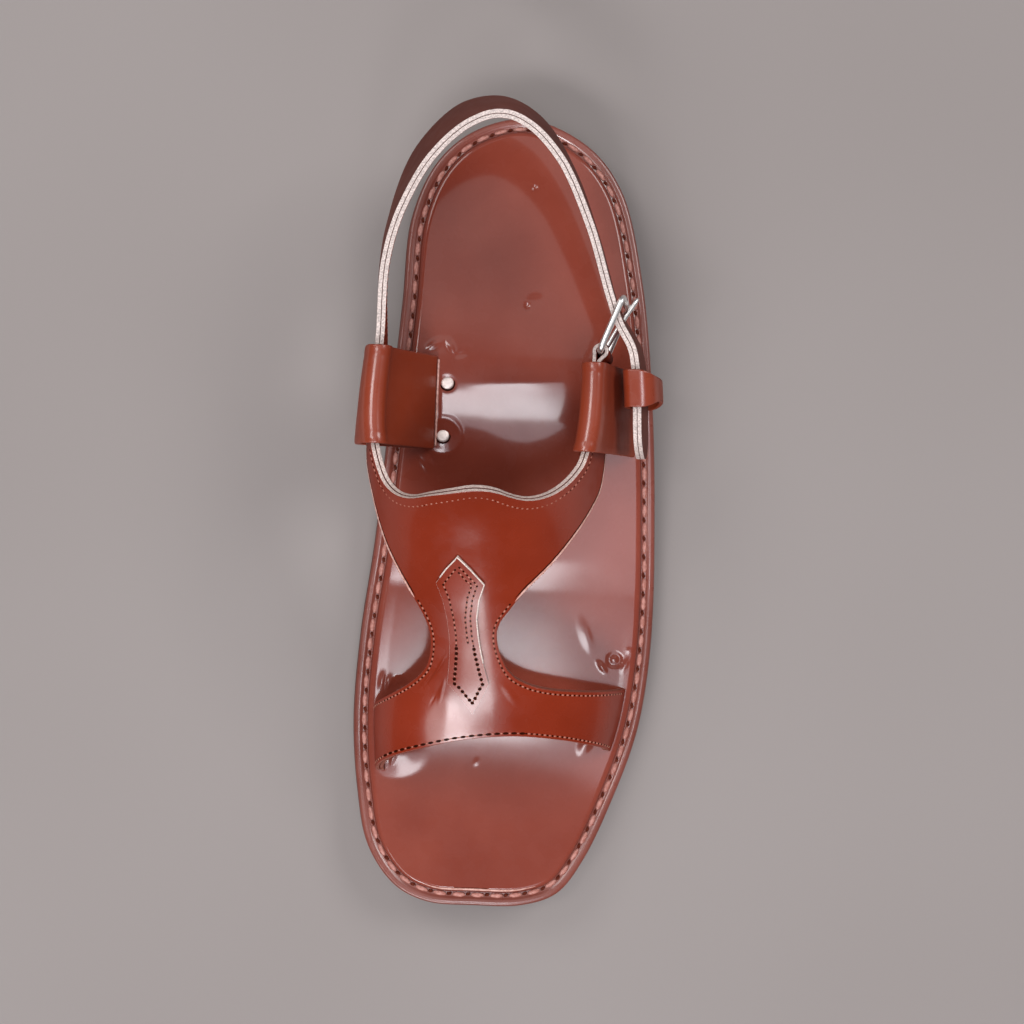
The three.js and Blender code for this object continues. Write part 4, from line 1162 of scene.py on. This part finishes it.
for name, inset, inner in (
    ("inner", 2.3, True), ("outer", 2, False), ("outer_second", 3.6, False),
):
    at, out = overlay_seam(inset, inner)
    half = len(at) * 6 // 10
    title = "stitches_overlay_" + name
    stitch_row(title, at[:half], out[:half], 1.9, (0.46, 0.42, 0.22))
    if name != "outer_second":
        stitch_row(title + "_foot", at[half:], out[half:], 2, (0.74, 0.7, 0.3), (0.34, 0.3, 0.24))

# %% [markdown]
# ## The side loops
# On each side a wide strip of leather comes up out of the insole, goes over the side
# strap and down into the seam. Its path at each station is a curve through the slit, the
# fold and the seam; the strip is a grid of such paths.

# %% Loops
LOOP_FROM = {-1: 0.305, 1: 0.3145}
LOOP_TO = 0.421
LOOP_SLIT = {-1: -0.278, 1: 0.222}


def loop_path(side, along, count=90):
    """One station's path, from the slit over the strap and down to the seam."""
    y = float(to_y(along))
    clear = LOOP / 2 + GAP + 0.25

    def off_strap(height, depth):
        return at_height(side, along, height, depth)

    def part(share):
        return STRAP_LOW + STRAP_WIDE * share

    foot = LOOP_SLIT[side] * BALL_WIDE
    base = float(footbed(y))
    seam = float(edge_x(side, y, SEAM_IN + LOOP / 2))
    top = off_strap(STRAP_HIGH, LEATHER / 2)
    out = unit((off_strap(STRAP_HIGH, LEATHER) - top) * (1, 0, 1))
    up = unit(np.array((-out[2] * out[0], 0, 1 - out[2] * out[2])))
    reach = LEATHER / 2 + clear
    fold = [
        top - out * math.cos(t) * reach + up * math.sin(t) * reach
        for t in np.linspace(0, math.pi, 5)
    ]
    inside = off_strap(part(0.8 if side < 0 else 0.6), -clear)
    if side < 0:
        inner_leg = [(foot + (inside[0] - foot) * 0.5, y, base + (inside[2] - base) * 0.5), inside]
        outer_leg = [
            off_strap(part(0.7), LEATHER + clear + 0.8), off_strap(part(0.35), LEATHER + clear + 1),
            off_strap(part(0), LEATHER + clear + 0.8),
        ]
    else:
        inner_leg = [off_strap(part(0.1), -clear), inside]
        outer_leg = [off_strap(part(0.72), LEATHER + clear + 0.5)]
    start, end = (foot, y, base + 1), (seam, y, base + 1)
    points = np.array([start, *inner_leg, *fold, *outer_leg, end])
    points[:, 1] = y
    line = spaced(curve_through(points), count)
    deep = INSOLE - GAP
    return np.vstack([(foot, y, base - deep), line, (seam, y, base - deep)])


HEM = 0.1


def hemmed(rows):
    """Grid rows raised along both side edges, where the leather is turned under."""
    rows = np.asarray(rows)
    far = np.linalg.norm(np.diff(rows, axis=1), axis=2).cumsum(1)
    far = np.concatenate([np.zeros((len(rows), 1)), far], 1)
    near = np.minimum(far, far[:, -1:] - far)
    raised, sunk = (np.exp(-(((near - at) / wide) ** 2)) for at, wide in ((1.5, 1.1), (3.5, 0.6)))
    return rows + grid_normals(rows) * (HEM * (raised - 0.5 * sunk))[..., None]


for side, node in ((-1, "inner_loop"), (1, "outer_loop")):
    paths = [loop_path(side, along) for along in np.linspace(LOOP_FROM[side], LOOP_TO, 56)]
    rows = hemmed(np.stack(paths, 1)[::-side])
    leathers = [loop_leather, loop_leather]
    loop = make_strip(node + "_leather", rows, -LOOP / 2, LOOP / 2, leathers, round_edge=0.95)
    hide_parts(node)

# %% [markdown]
# Along the toe, and along the slit that the inner loop comes out of, the insole's rounded edge
# carries a pale line that is a painted highlight. Each is a thin wire half sunk in the leather.

# %% Painted highlights on the insole's lips
TOE_HALF = 30  # points each way from the toe's middle
toe_edge = lifted(rim + 1, INSOLE_TOP - 0.2, count=FINE)
toe_edge = toe_edge[half_count - TOE_HALF:half_count + TOE_HALF + 1]
toe_thin = 0.4 * tapered(len(toe_edge), 14, 0.1)
make_wire("toe_lip_highlight", toe_edge, toe_thin, painted_edge_highlight, "insole_leather")
lip_y = to_y(np.linspace(LOOP_FROM[-1] + 0.004, LOOP_TO - 0.004, 40))
lip_x = np.full(40, LOOP_SLIT[-1] * BALL_WIDE + LOOP / 2 + 0.55)
lip = np.column_stack([lip_x, lip_y, insole_height(lip_x, lip_y, np.full(40, 9)) + 0.12])
make_wire("slit_lip_highlight", lip, 0.42, painted_edge_highlight, "insole_leather")

# %% [markdown]
# ## The back strap
# A strap runs from the inner loop round the heel and out through the buckle. At the heel
# it leans inward, as it would on a foot. Each station gives its middle, width and lean.

# %% Back strap
BACK_STRAP = np.array([  # side, along, rise, wide, lean
    (-0.445, 0.21, 0.22, 1.02, 3), (-0.413, 0.149, 0.42, 1.04, 8),
    (-0.329, 0.077, 0.62, 1.08, 18), (-0.203, 0.031, 0.77, 1.09, 24),
    (-0.097, 0.0215, 0.78, 1.09, 23), (0, 0.037, 0.74, 1.09, 19), (0.104, 0.082, 0.6, 1.05, 12),
    (0.2, 0.157, 0.34, 0.96, 9), (0.278, 0.237, 0, 0.79, 9), (0.308, 0.2625, -0.01, 0.77, 12),
    (0.355, 0.291, -0.06, 0.78, 14), (0.374, 0.318, -0.12, 0.8, 15), (0.383, 0.35, -0.18, 0.8, 15),
    (0.389, 0.385, -0.24, 0.8, 15), (0.397, 0.425, -0.32, 0.8, 15),
])
STRAP_MID = (STRAP_LOW + STRAP_HIGH) / 2
TIP = 10  # length of the rounded end
SEAM_INSET = 2.2


def back_strap_rows(count=200, across=10):
    stops, wide, lean = [], [], []
    for along in (INNER_END - GAP / SOLE_LONG, 0.335, 0.303):
        low, mid, high = (
            at_height(-1, along, h, LEATHER / 2) for h in (STRAP_LOW, STRAP_MID, STRAP_HIGH)
        )
        stops.append(mid)
        wide.append(STRAP_WIDE)
        lean.append(math.atan2(high[0] - low[0], high[2] - low[2]))
    for side, along, rise, share, angle in BACK_STRAP:
        stops.append((side * BALL_WIDE, float(to_y(along)), STRAP_MID + rise * STRAP_WIDE))
        wide.append(share * STRAP_WIDE)
        lean.append(math.radians(angle))
    fine = 40
    line = curve_through(stops, fine=fine)
    steps = np.linspace(0, len(line) - 1, count)
    at = np.stack([np.interp(steps, np.arange(len(line)), line[:, k]) for k in range(3)], 1)
    keys = steps / fine
    wide = np.interp(keys, np.arange(len(stops)), wide)
    lean = np.interp(keys, np.arange(len(stops)), lean)
    run = unit(np.gradient(at, axis=0) * (1, 1, 0))
    out = np.stack([-run[:, 1], run[:, 0], np.zeros(count)], 1)
    tall = np.array((0, 0, 1)) * np.cos(lean)[:, None] - out * np.sin(lean)[:, None]
    left = np.linalg.norm(at - at[-1], axis=1)
    near = (left < TIP) & (np.arange(count) > count / 2)
    wide = np.where(near, wide * np.sqrt(np.maximum(0.06, 1 - (1 - left / TIP) ** 2)), wide)
    share = np.linspace(-0.5, 0.5, across + 1)
    return at[:, None] + tall[:, None] * (wide[:, None] * share)[..., None]


strap_rows = back_strap_rows()
for name, low, high, leather in (
    ("outside", 0.04, PLY, strap_leather), ("lining", -PLY, -0.04, lining_leather),
):
    piece = make_strip("back_strap_" + name, strap_rows, low, high, [leather, raw_edge])
    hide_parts("back_strap")
strap_normal = grid_normals(strap_rows)
for name, column, inward in (("low", 0, 1), ("high", -1, -1)):
    across = unit(strap_rows[:, column + inward] - strap_rows[:, column])
    line = strap_rows[:, column] + across * SEAM_INSET + strap_normal[:, column] * PLY
    sewn = slice(20, -8)  # rows between the inner loop and the rounded tip
    stitch_row("stitches_back_strap_" + name, line[sewn], strap_normal[sewn, column], 2.6)

# %% [markdown]
# ## Buckle, fold and keeper
# The buckle is a bright wire frame on edge. Its near bar sits in a fold at the end of the
# vamp's outer strap, its prong goes through the strap, and a loose leather ring keeps the
# strap's free end.

# %% Buckle frame and prong
BUCKLE = {"side": 0.254, "along": 0.302, "long": 19.5, "tall": 23.4, "turn": 21, "lean": 12}
bar = np.array((BUCKLE["side"] * BALL_WIDE, float(to_y(BUCKLE["along"])), STRAP_MID))
turn, lean = math.radians(BUCKLE["turn"]), math.radians(BUCKLE["lean"])
long_way = np.array((math.sin(turn), math.cos(turn), 0))
flat_out = np.array((math.cos(turn), -math.sin(turn), 0))
tall_way = np.array((0, 0, math.cos(lean))) - flat_out * math.sin(lean)
face_way = np.array((0, 0, math.sin(lean))) + flat_out * math.cos(lean)


def on_buckle(long, tall, face):
    return bar + long_way * long + tall_way * tall + face_way * face


high = (BUCKLE["tall"] - WIRE) / 2
CORNER = 2.2  # the wire's bend
WIRE_AROUND = 18
frame_line = []
for long, tall, start in (
    (CORNER, CORNER - high, 180), (BUCKLE["long"] - CORNER, CORNER - high, 270),
    (BUCKLE["long"] - CORNER, high - CORNER, 0), (CORNER, high - CORNER, 90),
):
    for a in np.radians(start + np.arange(9) * 90 / 8):
        frame_line.append(on_buckle(long + CORNER * math.cos(a), tall + CORNER * math.sin(a), 0))
buckle_frame = make_wire(
    "buckle_wire", frame_line, WIRE / 2, buckle_metal, "buckle_metal", face_way,
    closed=True, around=WIRE_AROUND,
)
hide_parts("buckle_frame")

PRONG = 1.8
rest = WIRE / 2 + PRONG / 2 + GAP + 0.1
prong_line = spaced(curve_through([
    on_buckle(3.4, 0, 0.2), on_buckle(BUCKLE["long"] * 0.62, -1, 1.2),
    on_buckle(BUCKLE["long"], -2, rest), on_buckle(BUCKLE["long"] + 3.4, -2.6, rest + 0.6),
]), 40)
prong_radius = np.full(40, PRONG / 2)
prong_radius[-4:] *= (0.95, 0.85, 0.7, 0.45)
prong = make_wire(
    "buckle_pin", prong_line, prong_radius, buckle_metal, "buckle_metal", tall_way,
    around=WIRE_AROUND,
)
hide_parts("buckle_prong")

# %% [markdown]
# The fold is a leather tab: it leaves the vamp's band in two layers, which come together,
# go round the bar and back. One sheet of rows follows that path from end to end.

# %% Fold round the near bar
ply = (LEATHER - GAP) / 2
bend = WIRE / 2 + GAP + ply / 2
fold_wide = 0.8 * STRAP_WIDE
share = np.linspace(-0.5, 0.5, 9)
fold_start = OUTER_END - GAP / SOLE_LONG


def fold_layer(depth):
    heights = STRAP_MID + fold_wide * share
    return np.array([at_height(1, fold_start, height, depth) for height in heights])


def fold_row(long, face):
    return np.array([on_buckle(long, fold_wide * s, face) for s in share])


outer_start, inner_start = fold_layer(LEATHER - ply / 2), fold_layer(ply / 2)
outer_neck, inner_neck = (fold_row(-3.4, way * (ply + GAP) / 2) for way in (1, -1))
fold_rows = [outer_start, (outer_start + outer_neck) / 2, outer_neck]
for a in np.radians(np.arange(48, 313, 12)):
    fold_rows.append(fold_row(-bend * math.cos(a), bend * math.sin(a)))
fold_rows += [inner_neck, (inner_start + inner_neck) / 2, inner_start]
fold = make_strip(
    "buckle_fold_leather", fold_rows[::-1], -ply / 2, ply / 2, [upper_leather, raw_edge]
)
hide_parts("buckle_fold")

# %% [markdown]
# The keeper is a loose ring of loop leather round the strap's free end. In the photo it
# bows away from the strap, so its outer half stands wider and narrows to the middle.

# %% Keeper
KEEPER = {
    "from": 0.319, "to": 0.364, "thick": 1.6,
    "inner": 1.5, "outer": 4.1, "ends": 0.7, "narrow": 0.4,
}
free_end = BACK_STRAP[7:]


def keeper_rows(around=72, stations=17):
    """A ring round the strap's free end, narrower where it bows out."""
    lean = math.radians(15)
    tall = np.array((-math.sin(lean), 0, math.cos(lean)))
    out = np.array((math.cos(lean), 0, math.sin(lean)))
    room = GAP + KEEPER["thick"] / 2
    rows = []
    for turn in turns(around):
        c, s = math.cos(turn), math.sin(turn)
        long = (KEEPER["to"] - KEEPER["from"]) * (1 - KEEPER["narrow"] * max(0, c) ** 2)
        stops = (KEEPER["from"] + KEEPER["to"]) / 2 + long * np.linspace(-0.5, 0.5, stations)
        side, rise = (np.interp(stops, free_end[:, 1], free_end[:, k]) for k in (0, 2))
        middle = np.stack([side * BALL_WIDE, to_y(stops), STRAP_MID + rise * STRAP_WIDE], 1)
        wide = LEATHER / 2 + room + KEEPER["outer" if c > 0 else "inner"]
        high = 0.4 * STRAP_WIDE + room + KEEPER["ends"]
        rows.append(
            middle + out * wide * math.copysign(abs(c) ** (0.75 if c > 0 else 0.45), c)
            + tall * high * math.copysign(abs(s) ** 0.6, s)
        )
    return np.array(rows)


keeper = make_strip(
    "keeper_ring", keeper_rows()[::-1], -KEEPER["thick"] / 2, KEEPER["thick"] / 2,
    [loop_leather, loop_leather], closed=True, round_edge=0.7,
)
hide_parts("keeper")

# %% [markdown]
# Two flat tacks hold the inner loop's foot. Each head is a turned profile pressed into the insole,
# and a near-black wire ring round it is painted shade of the dent.

# %% Tacks in the insole
TACKS = {"tack_rear": (-0.231, 0.338), "tack_front": (-0.239, 0.404)}
TACK_STEPS = [  # radius, height over the insole
    (2.1, -0.2), (2.3, 0.1), (2.25, 0.4), (2, 0.62), (1.5, 0.72), (0.8, 0.78), (0.15, 0.8),
]
TACK_AROUND = 28
for node, (side, along) in TACKS.items():
    x, y = side * BALL_WIDE, float(to_y(along))
    low = float(insole_height(x, y, 20))
    head_rings, seat_ring = (
        [
            [(x + r * math.cos(t), y + r * math.sin(t), low + h) for t in turns(TACK_AROUND)]
            for r, h in steps
        ]
        for steps in (TACK_STEPS, [(2.55, 0)])
    )
    faces = [f[::-1] for f in grid_faces(len(TACK_STEPS), TACK_AROUND, wrap_columns=True)]
    for level, way in ((0, -1), (len(TACK_STEPS) - 1, 1)):
        faces.append(tuple(level * TACK_AROUND + k for k in range(TACK_AROUND))[::way])
    head = make_piece(node + "_head", head_rings, faces, [tack_metal], "tack_metal")
    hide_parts(node)
    # a near-black ring round the head: painted shade of the dent
    make_wire(node + "_seat_painted_shade", seat_ring[0], 0.3, dark_painted_shade, "insole_leather", closed=True)

# %% [markdown]
# ## Floor, light and camera
# The shoe stands on a plain pale floor. The photo was taken from almost straight above, a
# little to the inner side, so near parts look larger. Polished leather mirrors what is
# above it, so each soft box hangs where one part of the shoe mirrors it to the camera:
# the arch, the waist, the toe, the heel and the crest of the instep. Two more light the
# straps from behind on both sides.

# %% Floor
floor_mesh = bpy.data.meshes.new("floor")
span = 3
corners = [(-span, -span, 0), (span, -span, 0), (span, span, 0), (-span, span, 0)]
floor_mesh.from_pydata(corners, [], [(0, 1, 2, 3)])
floor = bpy.data.objects.new("floor", floor_mesh)
bpy.context.scene.collection.objects.link(floor)
floor.location.z = -0.0002
paper = Finish("floor_paper", roughness=0.9)
tone = paper.ramp(paper.noise(3, 2), 0.3, 0.7)
paper.set("Base Color", paper.mix(tone, (0.262, 0.23, 0.22), (0.285, 0.252, 0.242)))
floor_mesh.materials.append(paper.material)
print("floor:", 2 * span, "m square")


# %% [markdown]
# A lamp's power is worked out from the brightness of its face. Its size can then be set by
# the gleam that it leaves on the leather, and the gleam stays as bright as before.

# %% Lights
def soft_box(name, at, aim, size, glow, colour):
    """A soft box whose face has a given brightness, so its gleam is set by size alone."""
    light = bpy.data.lights.new(name, "AREA")
    light.shape, light.size, light.size_y = "RECTANGLE", size[0], size[1]
    light.energy, light.color = glow * math.pi * size[0] * size[1], colour
    lamp = bpy.data.objects.new(name, light)
    lamp.location = at
    lamp.rotation_euler = (Vector(aim) - Vector(at)).to_track_quat("-Z", "Y").to_euler()
    bpy.context.scene.collection.objects.link(lamp)
    print(name, "glow", glow)


middle = (0, -0.1, 0.02)
NEUTRAL, COOL, BLUISH = (1, 1, 1), (0.98, 0.99, 1.03), (0.95, 0.98, 1.08)
for name, at, size, glow, colour in (
    ("arch_box", (0.1, -0.53, 1.5), (0.44, 0.6), 2.3, BLUISH),
    ("arch_far_box", (0.3, -0.94, 1.5), (0.28, 0.22), 2.6, BLUISH),
    ("waist_box", (0.04, -0.41, 1.48), (0.16, 0.24), 11, COOL),
    ("toe_box_wide", (-0.6, -1.36, 1.5), (1.9, 0.5), 4.5, NEUTRAL),
    ("toe_box", (-0.3, -1.36, 1.48), (1, 0.36), 12, COOL),
    ("heel_box", (0.12, 0.42, 1.5), (0.9, 0.7), 0.7, NEUTRAL),
    ("crest_box", (-0.55, 0.05, 1.4), (0.26, 0.5), 9, NEUTRAL),
    ("inner_box", (-1, 0.9, 1.3), (0.9, 0.7), 4.5, NEUTRAL),
    ("outer_box", (1.1, 0.7, 1.3), (0.9, 0.7), 6.5, NEUTRAL),
):
    soft_box(name, at, middle, size, glow, colour)
world = bpy.data.worlds.new("studio")
bpy.context.scene.world = world
world.use_nodes = True
air = world.node_tree.nodes["Background"]
air.inputs["Color"].default_value = (0.95, 0.95, 1, 1)
air.inputs["Strength"].default_value = 0.16
bpy.context.scene.view_settings.view_transform = "Standard"

# %% [markdown]
# The camera's place was fitted to the photo's outline of the sole and straps. It is rolled
# a little, as the photo is.

# %% Camera
eye = Vector((-0.0314, -0.1012, 0.65))
target = Vector((0.0, -0.104, 0.02))
forward = (target - eye).normalized()
roll = math.radians(2.3)
image_up = Vector((-math.sin(roll), math.cos(roll), 0))
image_up = (image_up - forward * image_up.dot(forward)).normalized()
right = forward.cross(image_up)
camera_data = bpy.data.cameras.new("camera")
camera = bpy.data.objects.new("camera", camera_data)
camera.location = eye
camera.rotation_euler = Matrix((right, image_up, -forward)).transposed().to_euler()
camera_data.lens = 62
camera_data.sensor_width = 36
bpy.context.scene.collection.objects.link(camera)
bpy.context.scene.camera = camera
print("camera", camera_data.lens, "mm, at", tuple(round(v, 3) for v in eye))
